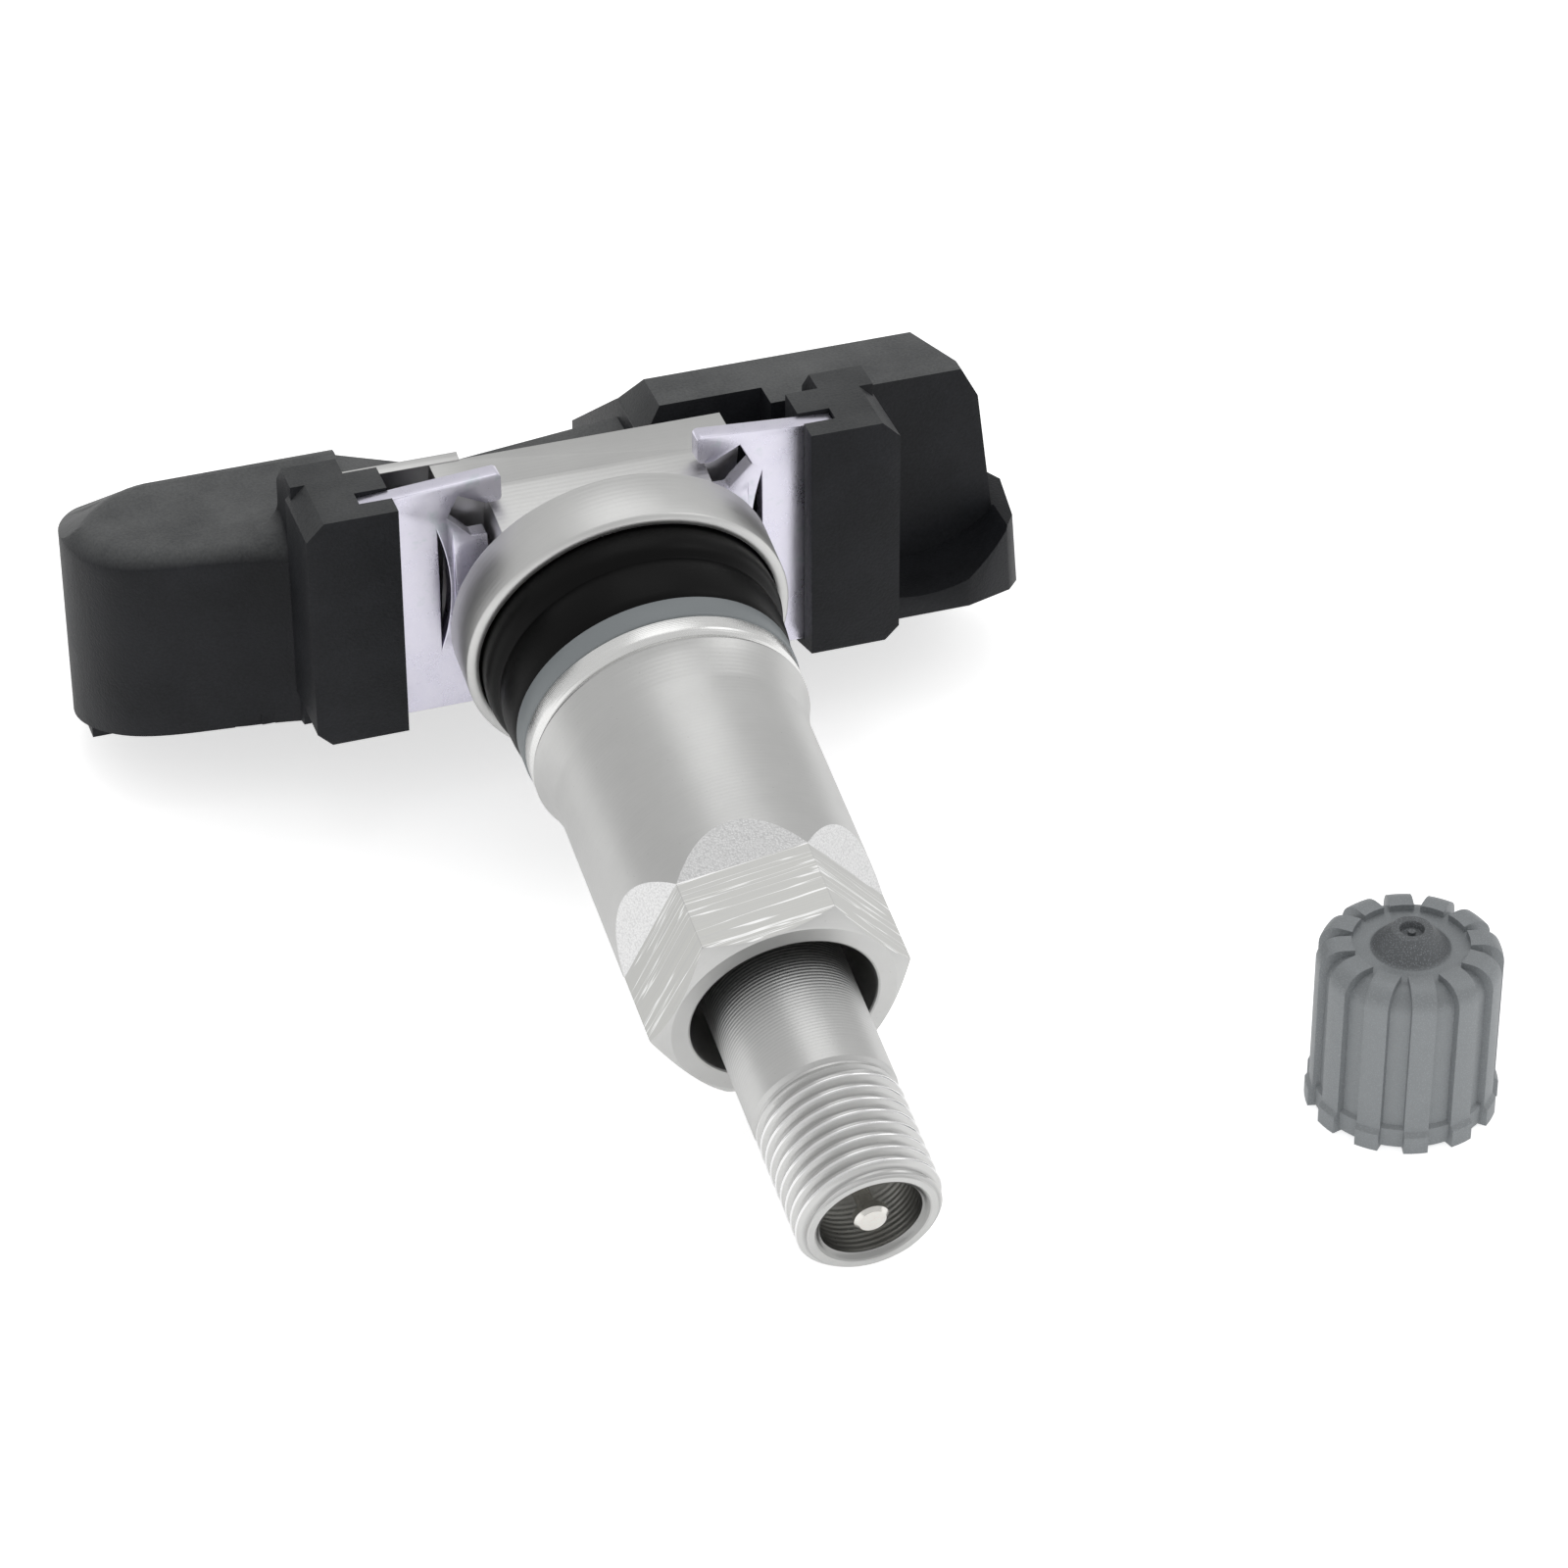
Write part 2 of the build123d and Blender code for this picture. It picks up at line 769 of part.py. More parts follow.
    # Hollow, open below, with more height at the battery and the component ends
    with BuildSketch(base.offset(-1)):
        underside(cover_margin)
    extrude(amount=1 + cover_thickness, mode=Mode.SUBTRACT)
    with BuildSketch(base):
        underside(0)
    extrude(amount=ceiling, mode=Mode.SUBTRACT)
    with BuildSketch(base):
        with Locations((battery_x, battery_y)):
            Circle(battery_r + battery_gap)
        with Locations((battery_x + battery_r + 0.6, battery_y)):
            Rectangle(2.4, tab_width + 0.6)
    extrude(amount=battery_room, mode=Mode.SUBTRACT)
    with BuildSketch(base):
        with Locations(((room_left + room_right) / 2, (room_front + room_back) / 2)):
            Rectangle(room_right - room_left, room_back - room_front)
    extrude(amount=parts_room, mode=Mode.SUBTRACT)
housing.part.label = "housing"
export_step(housing.part, "parts/housing.step")

# Base cover, with its air port, and the membrane behind the port
with BuildPart() as base_cover:
    with BuildSketch(base):
        underside(cover_margin - fit_gap)
    extrude(amount=cover_thickness)
    with BuildSketch(base):
        with Locations((port_x, port_y)):
            Circle(air_port_r)
    extrude(amount=cover_thickness, mode=Mode.SUBTRACT)
    with BuildSketch(base.offset(cover_thickness - filter_thickness)):
        with Locations((port_x, port_y)):
            Circle(filter_r + fit_gap)
    extrude(amount=filter_thickness, mode=Mode.SUBTRACT)
base_cover.part.label = "base_cover"
export_step(base_cover.part, "parts/base_cover.step")

with BuildPart() as port_filter:
    with BuildSketch(base.offset(cover_thickness - filter_thickness)):
        with Locations((port_x, port_y)):
            Circle(filter_r)
    extrude(amount=filter_thickness)
port_filter.part.label = "port_filter"
export_step(port_filter.part, "parts/port_filter.step")

# Circuit board, to the shape of the hollow
board_low = cover_thickness + board_gap
board_top = board_low + board_thickness
with BuildPart() as circuit_board:
    with BuildSketch(base.offset(board_low)):
        underside(-board_gap)
    extrude(amount=board_thickness)
circuit_board.part.label = "circuit_board"
export_step(circuit_board.part, "parts/circuit_board.step")

# Coin cell, lid down: can, gasket and lid
lid_low = board_top + tab_thickness
can_low = lid_low + lid_rise
can_high = can_low + can_height
with BuildPart() as battery_can:
    with BuildSketch(base.offset(can_low)):
        with Locations((battery_x, battery_y)):
            Circle(battery_r)
    extrude(amount=can_height)
    with BuildSketch(base.offset(can_low)):
        with Locations((battery_x, battery_y)):
            Circle(lid_r + gasket_width)
    extrude(amount=lid_height, mode=Mode.SUBTRACT)
battery_can.part.label = "battery_can"
export_step(battery_can.part, "parts/battery_can.step")

with BuildPart() as battery_gasket:
    with BuildSketch(base.offset(can_low)):
        with Locations((battery_x, battery_y)):
            Circle(lid_r + gasket_width)
            Circle(lid_r, mode=Mode.SUBTRACT)
    extrude(amount=lid_height)
battery_gasket.part.label = "battery_gasket"
export_step(battery_gasket.part, "parts/battery_gasket.step")

with BuildPart() as battery_lid:
    with BuildSketch(base.offset(lid_low)):
        with Locations((battery_x, battery_y)):
            Circle(lid_r)
    extrude(amount=lid_rise + lid_height)
battery_lid.part.label = "battery_lid"
export_step(battery_lid.part, "parts/battery_lid.step")

# Welded tabs: one between lid and board, one from the can's top down to the board
with BuildPart() as tab_negative:
    with BuildSketch(base.offset(board_top)):
        with Locations((battery_x + 1, battery_y)):
            Rectangle(2 * lid_r - 3, tab_width)
    extrude(amount=tab_thickness)
tab_negative.part.label = "tab_negative"
export_step(tab_negative.part, "parts/tab_negative.step")

tab_drop_x = battery_x + battery_r + 0.25
tab_side = Plane(origin=base.from_local_coords((0, battery_y, 0)), x_dir=(1, 0, 0), z_dir=-base.y_dir)
with BuildPart() as tab_positive:
    with BuildSketch(tab_side):
        Polygon(
            (battery_x - 2, can_high),
            (tab_drop_x, can_high),
            (tab_drop_x, board_top),
            (tab_drop_x + 0.9, board_top),
            (tab_drop_x + 0.9, board_top + tab_thickness),
            (tab_drop_x + tab_thickness, board_top + tab_thickness),
            (tab_drop_x + tab_thickness, can_high + tab_thickness),
            (battery_x - 2, can_high + tab_thickness),
            align=None,
        )
    extrude(amount=tab_width / 2, both=True)
tab_positive.part.label = "tab_positive"
export_step(tab_positive.part, "parts/tab_positive.step")

# Pressure sensor in its package, with a vented lid
with BuildPart() as sensor_chip:
    with BuildSketch(base.offset(board_top)):
        with Locations((chip_x, chip_y)):
            Rectangle(chip_size, chip_size)
    extrude(amount=chip_height)
sensor_chip.part.label = "sensor_chip"
export_step(sensor_chip.part, "parts/sensor_chip.step")

with BuildPart() as chip_lid:
    with BuildSketch(base.offset(board_top + chip_height)):
        with Locations((chip_x, chip_y)):
            Rectangle(chip_size - 0.8, chip_size - 0.8)
            Circle(0.35, mode=Mode.SUBTRACT)
    extrude(amount=0.3)
chip_lid.part.label = "chip_lid"
export_step(chip_lid.part, "parts/chip_lid.step")

# Low-frequency coil: ferrite bobbin and its winding
coil_mid = board_top + coil_height / 2
with BuildPart() as coil_core:
    with BuildSketch(base.offset(board_top)):
        with Locations((coil_x, room_mid)):
            with GridLocations(0, coil_length - coil_cheek, 1, 2):
                Rectangle(coil_width, coil_cheek)
    extrude(amount=coil_height)
    with BuildSketch(base.offset(coil_mid - coil_waist / 2)):
        with Locations((coil_x, room_mid)):
            Rectangle(coil_waist, coil_length - coil_cheek)
    extrude(amount=coil_waist)
coil_core.part.label = "coil_core"
export_step(coil_core.part, "parts/coil_core.step")

winding_length = coil_length - 2 * coil_cheek
with BuildPart() as coil_winding:
    with BuildSketch(base.offset(coil_mid - coil_waist / 2 - winding_depth)):
        with Locations((coil_x, room_mid)):
            Rectangle(coil_waist + 2 * winding_depth, winding_length)
    extrude(amount=coil_waist + 2 * winding_depth)
    with BuildSketch(base.offset(coil_mid - coil_waist / 2)):
        with Locations((coil_x, room_mid)):
            Rectangle(coil_waist, winding_length)
    extrude(amount=coil_waist, mode=Mode.SUBTRACT)
coil_winding.part.label = "coil_winding"
export_step(coil_winding.part, "parts/coil_winding.step")

# Antenna: a strip that stands on the board round three sides of the component end
with BuildPart() as antenna_loop:
    with BuildSketch(base.offset(board_top)):
        with Locations(((room_left + room_right) / 2, room_mid)):
            Rectangle(room_right - room_left - 0.9, room_back - room_front - 0.9)
            Rectangle(room_right - room_left - 1.5, room_back - room_front - 1.5, mode=Mode.SUBTRACT)
        with Locations((room_left + 0.4, room_mid)):
            Rectangle(1.4, room_back - room_front - 1.4, mode=Mode.SUBTRACT)
    extrude(amount=antenna_height)
antenna_loop.part.label = "antenna_loop"
export_step(antenna_loop.part, "parts/antenna_loop.step")

# Crystal and capacitors
with BuildPart() as crystal_can:
    with BuildSketch(base.offset(board_top)):
        with Locations((crystal_x, small_parts_y)):
            Rectangle(2.0, 1.2)
    extrude(amount=0.6)
crystal_can.part.label = "crystal_can"
export_step(crystal_can.part, "parts/crystal_can.step")

with BuildPart() as chip_capacitors:
    with BuildSketch(base.offset(board_top)):
        with Locations((capacitor_x, small_parts_y)):
            with GridLocations(0.85, 0, 3, 1):
                Rectangle(0.5, 1.0)
    extrude(amount=0.5)
chip_capacitors.part.label = "chip_capacitors"
export_step(chip_capacitors.part, "parts/chip_capacitors.step")

# Valve cap: ribbed shell with a ringed top, standing on its mouth beside the sensor
cap_axis = Axis((cap_x, cap_y, 0), (0, 0, 1))
cap_profile = Plane(origin=(cap_x, cap_y, -axis_height), x_dir=(1, 0, 0), z_dir=(0, -1, 0))
cap_floor = Plane(origin=(cap_x, cap_y, -axis_height), x_dir=(1, 0, 0), z_dir=(0, 0, 1))
shoulder = cap_height - cap_cone_height
with BuildPart() as cap_rib_set:
    with BuildSketch(cap_profile):
        with BuildLine():
            Polyline(
                (cap_bore_r + 0.35, 0),
                (rib_foot_r, 0),
                (rib_foot_r, rib_foot_height),
                (rib_r, cap_foot_height),
                (rib_r, shoulder - cap_dome),
            )
            ThreePointArc(
                (rib_r, shoulder - cap_dome),
                (rib_r - 0.29 * cap_dome, shoulder - 0.29 * cap_dome),
                (rib_r - cap_dome, shoulder),
            )
            Polyline(
                (rib_r - cap_dome, shoulder),
                (rib_inner_r, shoulder),
                (rib_inner_r, shoulder - 0.7),
                (cap_r - 0.2, shoulder - cap_dome),
                (cap_r - 0.2, cap_foot_height),
                (cap_bore_r + 0.35, cap_foot_height),
                (cap_bore_r + 0.35, 0),
            )
        make_face()
    revolve(axis=cap_axis)
    with BuildSketch(cap_floor):
        with PolarLocations(rib_inner_r + 1, cap_ribs, start_angle=cap_turn):
            Rectangle(4, cap_rib_width)
    extrude(amount=cap_height, mode=Mode.INTERSECT)

with BuildPart() as valve_cap:
    with BuildSketch(cap_profile):
        with BuildLine():
            Polyline(
                (0, cap_bore_depth + washer_height),
                (cap_seat_r, cap_bore_depth + washer_height),
                (cap_seat_r, cap_bore_depth),
                (cap_bore_r, cap_bore_depth),
                (cap_bore_r, 0.35),
                (cap_bore_r + 0.35, 0),
                (cap_foot_r - 0.2, 0),
                (cap_foot_r, 0.2),
                (cap_foot_r, cap_foot_height),
                (cap_r, cap_foot_height + 0.15),
                (cap_r, shoulder - cap_dome - rib_height),
            )
            ThreePointArc(
                (cap_r, shoulder - cap_dome - rib_height),
                (cap_r - 0.29 * cap_dome, shoulder - 0.29 * cap_dome - rib_height),
                (cap_r - cap_dome, shoulder - rib_height),
            )
            Polyline(
                (cap_r - cap_dome, shoulder - rib_height),
                (cap_cone_r, shoulder - rib_height),
                (cap_cone_top_r, cap_height),
                (cap_dimple_r, cap_height),
                (cap_dimple_r - 0.1, cap_height - 0.35),
                (0.2, cap_height - 0.35),
                (0.2, cap_height - 0.15),
                (0, cap_height - 0.15),
                (0, cap_bore_depth + washer_height),
            )
        make_face()
    revolve(axis=cap_axis)
    add(cap_rib_set.part)
valve_cap.part.label = "valve_cap"
export_step(valve_cap.part, "parts/valve_cap.step")

with BuildPart() as cap_seal:
    with BuildSketch(cap_floor.offset(cap_bore_depth)):
        Circle(cap_seat_r)
    extrude(amount=washer_height)
cap_seal.part.label = "cap_seal"
export_step(cap_seal.part, "parts/cap_seal.step")
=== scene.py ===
# %% [markdown]
# A tyre pressure sensor lies on a white table. Its metal valve, clamped by a long sleeve nut,
# leans down until the tip touches the table, and a bracket holds the valve to a dark plastic
# housing. The valve cap is off and stands beside it. The solid model already has every piece at
# its real size, so this file keeps what is right, remakes what needs finer form, and gives every
# surface its finish.

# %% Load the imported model
import json
import math

import bpy
from mathutils import Matrix, Vector


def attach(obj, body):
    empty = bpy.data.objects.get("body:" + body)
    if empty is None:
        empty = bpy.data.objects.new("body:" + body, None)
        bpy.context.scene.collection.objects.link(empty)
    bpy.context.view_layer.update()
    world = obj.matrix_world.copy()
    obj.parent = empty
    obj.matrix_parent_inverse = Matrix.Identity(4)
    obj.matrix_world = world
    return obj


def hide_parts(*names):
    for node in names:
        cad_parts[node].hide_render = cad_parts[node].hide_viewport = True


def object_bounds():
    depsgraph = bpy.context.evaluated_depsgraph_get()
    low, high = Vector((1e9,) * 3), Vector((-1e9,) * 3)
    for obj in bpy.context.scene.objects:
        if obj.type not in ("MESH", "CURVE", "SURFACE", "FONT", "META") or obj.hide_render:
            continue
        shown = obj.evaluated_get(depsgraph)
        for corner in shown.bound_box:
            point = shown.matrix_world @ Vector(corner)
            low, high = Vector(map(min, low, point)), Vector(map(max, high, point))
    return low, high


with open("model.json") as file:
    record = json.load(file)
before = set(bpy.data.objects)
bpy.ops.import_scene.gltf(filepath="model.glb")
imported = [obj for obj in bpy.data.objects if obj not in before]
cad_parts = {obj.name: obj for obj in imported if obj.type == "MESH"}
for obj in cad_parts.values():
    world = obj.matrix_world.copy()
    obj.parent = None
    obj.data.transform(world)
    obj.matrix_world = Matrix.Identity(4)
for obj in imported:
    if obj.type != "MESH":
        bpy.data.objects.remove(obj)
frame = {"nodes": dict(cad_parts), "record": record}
cad_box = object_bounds()
nodes = frame["nodes"]
mm = 0.001

# %% [markdown]
# Everything turned is centred on the valve's own axis, which passes through the origin at the
# front of the flange. The direction could be typed in as angles, but the record already has it as
# the axis of a mount, so it is read from there and always agrees with the solids. Turned pieces
# are drawn upright about Z and then laid along the valve by this one matrix.

# %% The valve's own axes
mounts = {mount["name"]: mount for mount in frame["record"]["mounts"]}
along = Vector(mounts["rim_hole"]["axis"]).normalized()
across = Vector((1, 0, 0))
upward = along.cross(across)
lay_along_valve = Matrix((across, upward, along)).transposed().to_4x4()
lean = math.atan2(-along.z, -along.y)
table_z = cad_box[0][2]
print("valve leans", round(math.degrees(lean), 2), "degrees")
print("table at", round(table_z / mm, 2), "mm")

# %% [markdown]
# The photograph was taken from the front and slightly to the left, from well above, with a long
# lens. A camera could be moved by eye until the picture fits, but round edges and corners of
# known size say where it stood, and the place and the three angles below were worked out from
# them.

# %% The camera
camera_place = Vector((-74.49 * mm, -253.89 * mm, 179.33 * mm))
camera_angles = (math.radians(54.38), math.radians(0.23), math.radians(-18.33))
bpy.ops.object.camera_add(location=camera_place, rotation=camera_angles)
camera = bpy.context.object
camera.data.lens = 137.2
camera.data.sensor_width = 36
camera.data.clip_start = 0.01
bpy.context.scene.camera = camera
print("camera", round(camera_place.length / mm), "mm from the flange")

# %% [markdown]
# A finish is a small graph of shader nodes. It could be wired up by hand, one node after the
# other, but arithmetic is easier to read. So this class wraps one output of a node and turns
# + - * / into Math nodes. A ramp is the step used most: nothing before one value, all of it after
# another, and even between them.


# %% Shader arithmetic
class Amount:
    """One output of a node, as a number that changes over the surface."""

    def __init__(self, finish, socket):
        self.finish = finish
        self.socket = socket

    def _maths(self, operation, first, second=0.0):
        return self.finish.node("ShaderNodeMath", {"operation": operation}, {0: first, 1: second})

    def __add__(self, other):
        return self._maths("ADD", self, other)

    def __radd__(self, other):
        return self._maths("ADD", other, self)

    def __sub__(self, other):
        return self._maths("SUBTRACT", self, other)

    def __rsub__(self, other):
        return self._maths("SUBTRACT", other, self)

    def __mul__(self, other):
        return self._maths("MULTIPLY", self, other)

    def __rmul__(self, other):
        return self._maths("MULTIPLY", other, self)

    def __truediv__(self, other):
        return self._maths("DIVIDE", self, other)

    def __pow__(self, other):
        return self._maths("POWER", self, other)

    def sine(self):
        return self._maths("SINE", self)

    def limited(self):
        """The same amount, held between 0 and 1."""
        return self.finish.node("ShaderNodeClamp", {}, {0: self})

    def ramp(self, start, end):
        """0 up to start, 1 from end on, and even between them."""
        return ((self - start) / (end - start)).limited()


# %% [markdown]
# The second class is the finish itself. One method adds any kind of node, makes its settings and
# joins its sockets, and the others are the few patterns that every finish here is built from:
# clouds, scattered points, coordinates laid along a piece, a mix of two colours, and relief.


# %% A finish under construction
class Finish:
    """A material under construction, with its shader and its ways to add nodes."""

    def __init__(self, name, **constants):
        self.material = bpy.data.materials.new(name)
        self.material.use_nodes = True
        self.tree = self.material.node_tree
        self.shader = self.tree.nodes["Principled BSDF"]
        for key, value in constants.items():
            socket = key.replace("_", " ").title().replace("Ior", "IOR")
            self.shader.inputs[socket].default_value = value
        self.place = self.node("ShaderNodeTexCoord", {}, {}, "Object")

    def node(self, kind, settings, inputs, output=0):
        """Adds a node, sets it up, joins its inputs and gives one of its outputs."""
        new = self.tree.nodes.new(kind)
        for key, value in settings.items():
            setattr(new, key, value)
        for key, value in inputs.items():
            if isinstance(value, Amount):
                self.tree.links.new(value.socket, new.inputs[key])
            else:
                new.inputs[key].default_value = value
        return Amount(self, new.outputs[output])

    def noise(self, size, where=None, detail=3, roughness=0.55):
        """Cloudy noise whose clumps are about size metres across."""
        inputs = {
            "Vector": where or self.place,
            "Scale": 1 / size,
            "Detail": detail,
            "Roughness": roughness,
        }
        return self.node("ShaderNodeTexNoise", {}, inputs)

    def cells(self, size):
        """Distance to the nearest of many points that lie about size metres apart."""
        return self.node("ShaderNodeTexVoronoi", {}, {"Vector": self.place, "Scale": 1 / size})

    def turned(self, angles=(0, 0, 0), shift=(0, 0, 0), stretch=(1, 1, 1)):
        """Object coordinates moved by shift, then turned, and stretched only after that."""
        moved = self.node("ShaderNodeMapping", {}, {"Vector": self.place, "Location": shift})
        laid = self.node("ShaderNodeMapping", {}, {"Vector": moved, "Rotation": angles})
        return self.node("ShaderNodeMapping", {}, {"Vector": laid, "Scale": stretch})

    def part(self, vector, axis):
        """One coordinate of a vector: 0, 1 or 2."""
        return self.node("ShaderNodeSeparateXYZ", {}, {0: vector}, axis)

    def from_axis(self, vector):
        """How far a vector reaches from the Z axis."""
        return (self.part(vector, 0) ** 2 + self.part(vector, 1) ** 2) ** 0.5

    def mix(self, amount, low, high):
        """A colour between low and high, by the Mix node's sockets for colours: 6, 7 and out 2."""
        return self.node("ShaderNodeMix", {"data_type": "RGBA"}, {0: amount, 6: low, 7: high}, 2)

    def join(self, source, socket):
        """Lets an amount or colour feed one socket of the shader."""
        self.tree.links.new(source.socket, self.shader.inputs[socket])

    def colour(self, source):
        self.join(source, "Base Color")

    def roughness(self, source):
        self.join(source, "Roughness")

    def relief(self, height, depth):
        """Bumps depth metres high where height runs from 0 to 1."""
        self.join(self.node("ShaderNodeBump", {}, {"Height": height, "Distance": depth}), "Normal")

    def done(self):
        """Gives the material, and says how large its graph is."""
        print(self.material.name, len(self.tree.nodes), "nodes")
        return self.material


def shade(red, green=None, blue=None):
    """A colour written as the eye reads it, 0 to 1, turned into light. One number is a grey."""
    parts = (red, red if green is None else green, red if blue is None else blue)
    light = [p / 12.92 if p <= 0.04045 else ((p + 0.055) / 1.055) ** 2.4 for p in parts]
    return (*light, 1.0)


# %% [markdown]
# The valve, its nut and its washer are turned aluminium. Turning leaves fine rings round the
# axis. They could be modelled as grooves, but they are finer than a hair, so the finish makes
# them: distance along the valve gives the rings, and stretched noise breaks them up so that they
# don't look printed. The stem's feed marks fade out towards the thread, and next to the nut their
# grooves darken, partly as the marks and partly as painted shade from the nut. The thread's crests
# are made light, partly as wear and partly as a painted highlight, and its valleys get painted
# shade.

# %% Turned aluminium
valve_turn = (-math.pi / 2 - lean, 0, 0)
stretched_along = (0.35, 0.35, 12)
marks_fade_over = 4.5 * mm


def aluminium(name, tone, rings, ring_depth, roughness=0.36, specks=0.0, fade=None, bright_crests_from=None):
    """Satin aluminium with rings round the valve's axis, rings metres apart.

    Feed marks end where fade says and, next to the nut, darken: partly the marks and partly
    painted shade from the nut. Crests beyond the given radius are brightened, partly as wear
    and partly as a painted highlight, and valleys below it get painted shade.
    """
    finish = Finish(name, metallic=1.0)
    laid = finish.turned(valve_turn)
    height = finish.part(laid, 2)
    grain = finish.noise(0.09 * mm, detail=2)
    cloud = finish.noise(2.4 * mm, detail=4)
    streak = finish.noise(0.7 * mm, where=finish.turned(valve_turn, stretch=stretched_along))
    wave = (height * (2 * math.pi / rings)).sine() * 0.5 + 0.5
    dirt = (finish.cells(0.55 * mm) * -9 + 0.62).limited() * specks
    light = shade(tone + 0.03, tone + 0.03, tone + 0.025)
    dark = shade(tone - 0.05, tone - 0.05, tone - 0.055)
    body = finish.mix((cloud * 0.5 + streak * 0.5).limited(), dark, light)
    rough = streak * 0.16 + grain * 0.1 + (roughness - 0.12)
    if fade:
        marks_and_nut_shade = height.ramp(fade, fade - marks_fade_over)
        # Next to the nut the grooves of the feed marks darken, partly as the marks and partly as
        # painted shade from the nut.
        body = finish.mix(wave * marks_and_nut_shade * marks_and_nut_shade * 0.7, body, shade(0.46, 0.47, 0.48))
        wave = wave * (marks_and_nut_shade * 0.85 + 0.15)
    if bright_crests_from:
        # Crests are lightened partly as wear and partly as a painted highlight, and the valleys get
        # painted shade.
        reach = finish.from_axis(laid)
        wear_and_glint = reach.ramp(bright_crests_from, bright_crests_from + 0.05 * mm)
        valley_shade = reach.ramp(bright_crests_from - 0.18 * mm, bright_crests_from - 0.30 * mm)
        body = finish.mix(valley_shade * 0.45, body, shade(0.60))
        body = finish.mix(wear_and_glint, body, shade(0.97))
        rough = rough - wear_and_glint * 0.12
    finish.colour(finish.mix(dirt, body, shade(0.22)))
    finish.roughness(rough)
    finish.relief(wave * 0.6 + streak * 0.3 + grain * 0.25, ring_depth)
    return finish.done()


# %% [markdown]
# One recipe serves seven faces of the valve, because they differ only in tone, in how far apart
# and how deep the tool's rings are, and in wear and painted light. The washer is the brightest,
# and the bore the darkest, its tone lowered as painted shade inside the bore.

# %% Seven turned faces
stem_metal = aluminium("stem_metal", 0.82, 0.20 * mm, 0.016 * mm, specks=0.5, fade=33.4 * mm)
thread_metal = aluminium(
    "thread_metal", 0.84, 0.12 * mm, 0.004 * mm, roughness=0.34, specks=0.6, bright_crests_from=3.80 * mm
)
flange_metal = aluminium("flange_metal", 0.85, 0.30 * mm, 0.004 * mm, roughness=0.42)
block_metal = aluminium("block_metal", 0.82, 0.30 * mm, 0.004 * mm, roughness=0.38)
nut_metal = aluminium("nut_metal", 0.82, 0.24 * mm, 0.003 * mm, roughness=0.40, specks=0.6)
# The bore's lower tone is painted shade inside the bore.
shaded_bore_metal = aluminium("shaded_bore_metal", 0.66, 0.30 * mm, 0.03 * mm, roughness=0.30)
washer_metal = aluminium("washer_metal", 0.94, 0.11 * mm, 0.006 * mm, roughness=0.27)

# %% [markdown]
# The nut's six flats are milled, so fine lines cross the valve, and a few of them carry a painted
# glint. They come from noise squeezed along the valve. Where the cutter ran out, the metal is
# coarse and sparkles: scattered cells with a deep relief give that grain.


# %% Milled flats and their run-outs
def milled(name, tone):
    """Aluminium with a cutter's fine lines across the valve, and a few thin lines of painted glint.
    """
    finish = Finish(name, metallic=1.0)
    fine = finish.noise(0.9 * mm, where=finish.turned(valve_turn, stretch=(0.12, 0.12, 10)))
    sparse = finish.noise(1.1 * mm, where=finish.turned(valve_turn, stretch=(0.05, 0.05, 1.6)))
    grain = finish.noise(0.08 * mm, detail=2)
    # A few thin lines get a painted glint: a near-white colour and less roughness.
    glint_lines = (1 - ((sparse - 0.5) * 70) ** 2).limited() * 0.8
    body = finish.mix(fine, shade(tone - 0.05), shade(tone + 0.02, tone + 0.02, tone))
    finish.colour(finish.mix(glint_lines, body, shade(0.97)))
    finish.roughness(fine * 0.14 + grain * 0.08 + 0.26 - glint_lines * 0.08)
    finish.relief(fine * 0.7 + glint_lines * 0.5 + grain * 0.2, 0.003 * mm)
    return finish.done()


def blasted(name, tone):
    """Aluminium with coarse sparkling grain."""
    finish = Finish(name, metallic=1.0)
    grain = finish.cells(0.10 * mm)
    fine = finish.noise(0.05 * mm, detail=2)
    finish.colour(finish.mix(grain, shade(tone + 0.08), shade(tone - 0.06)))
    finish.roughness(fine * 0.3 + 0.24)
    finish.relief(grain * 0.7 + fine * 0.5, 0.02 * mm)
    return finish.done()


flat_metal = milled("nut_flats", 0.79)
facet_metal = blasted("nut_facets", 0.90)

# %% [markdown]
# The grommet is matte black rubber and the ring on it a smooth grey plastic. One plain colour
# would look like paint, and a strong pattern like stone. Both are soft and nearly even, so a
# little cloudiness in tone and roughness is all they need.


# %% Rubber and nylon
def moulded(name, low, high, roughness, grain, depth, **constants):
    """A moulded surface: two close tones in clouds, and grain metres wide that is depth high."""
    finish = Finish(name, **constants)
    clouds = finish.noise(2 * mm, detail=4)
    skin = finish.noise(grain, detail=2)
    finish.colour(finish.mix((clouds * 0.7 + skin * 0.3).limited(), low, high))
    finish.roughness(clouds * 0.14 + skin * 0.12 + (roughness - 0.13))
    finish.relief(skin, depth)
    return finish.done()


rubber = moulded(
    "black_rubber", shade(0.010), shade(0.022), 0.40, 0.12 * mm, 0.006 * mm, specular_ior_level=0.14
)
ring_nylon = moulded(
    "grey_nylon", shade(0.49, 0.51, 0.52), shade(0.53, 0.55, 0.56), 0.42, 0.1 * mm, 0.003 * mm
)

# %% [markdown]
# The housing is charcoal plastic moulded with a fine spark-eroded texture. On its upper faces,
# where light falls across the texture, it reads as a soft grey, and its walls stay dark. That
# sheen is painted: one mix runs from a dark wall tone to a lighter top tone by which way a face
# looks. It holds above the lower deck only, and less on the pillars' tops, which are smoother.
# Shallow rubs and specks of lint keep the plastic from looking new.

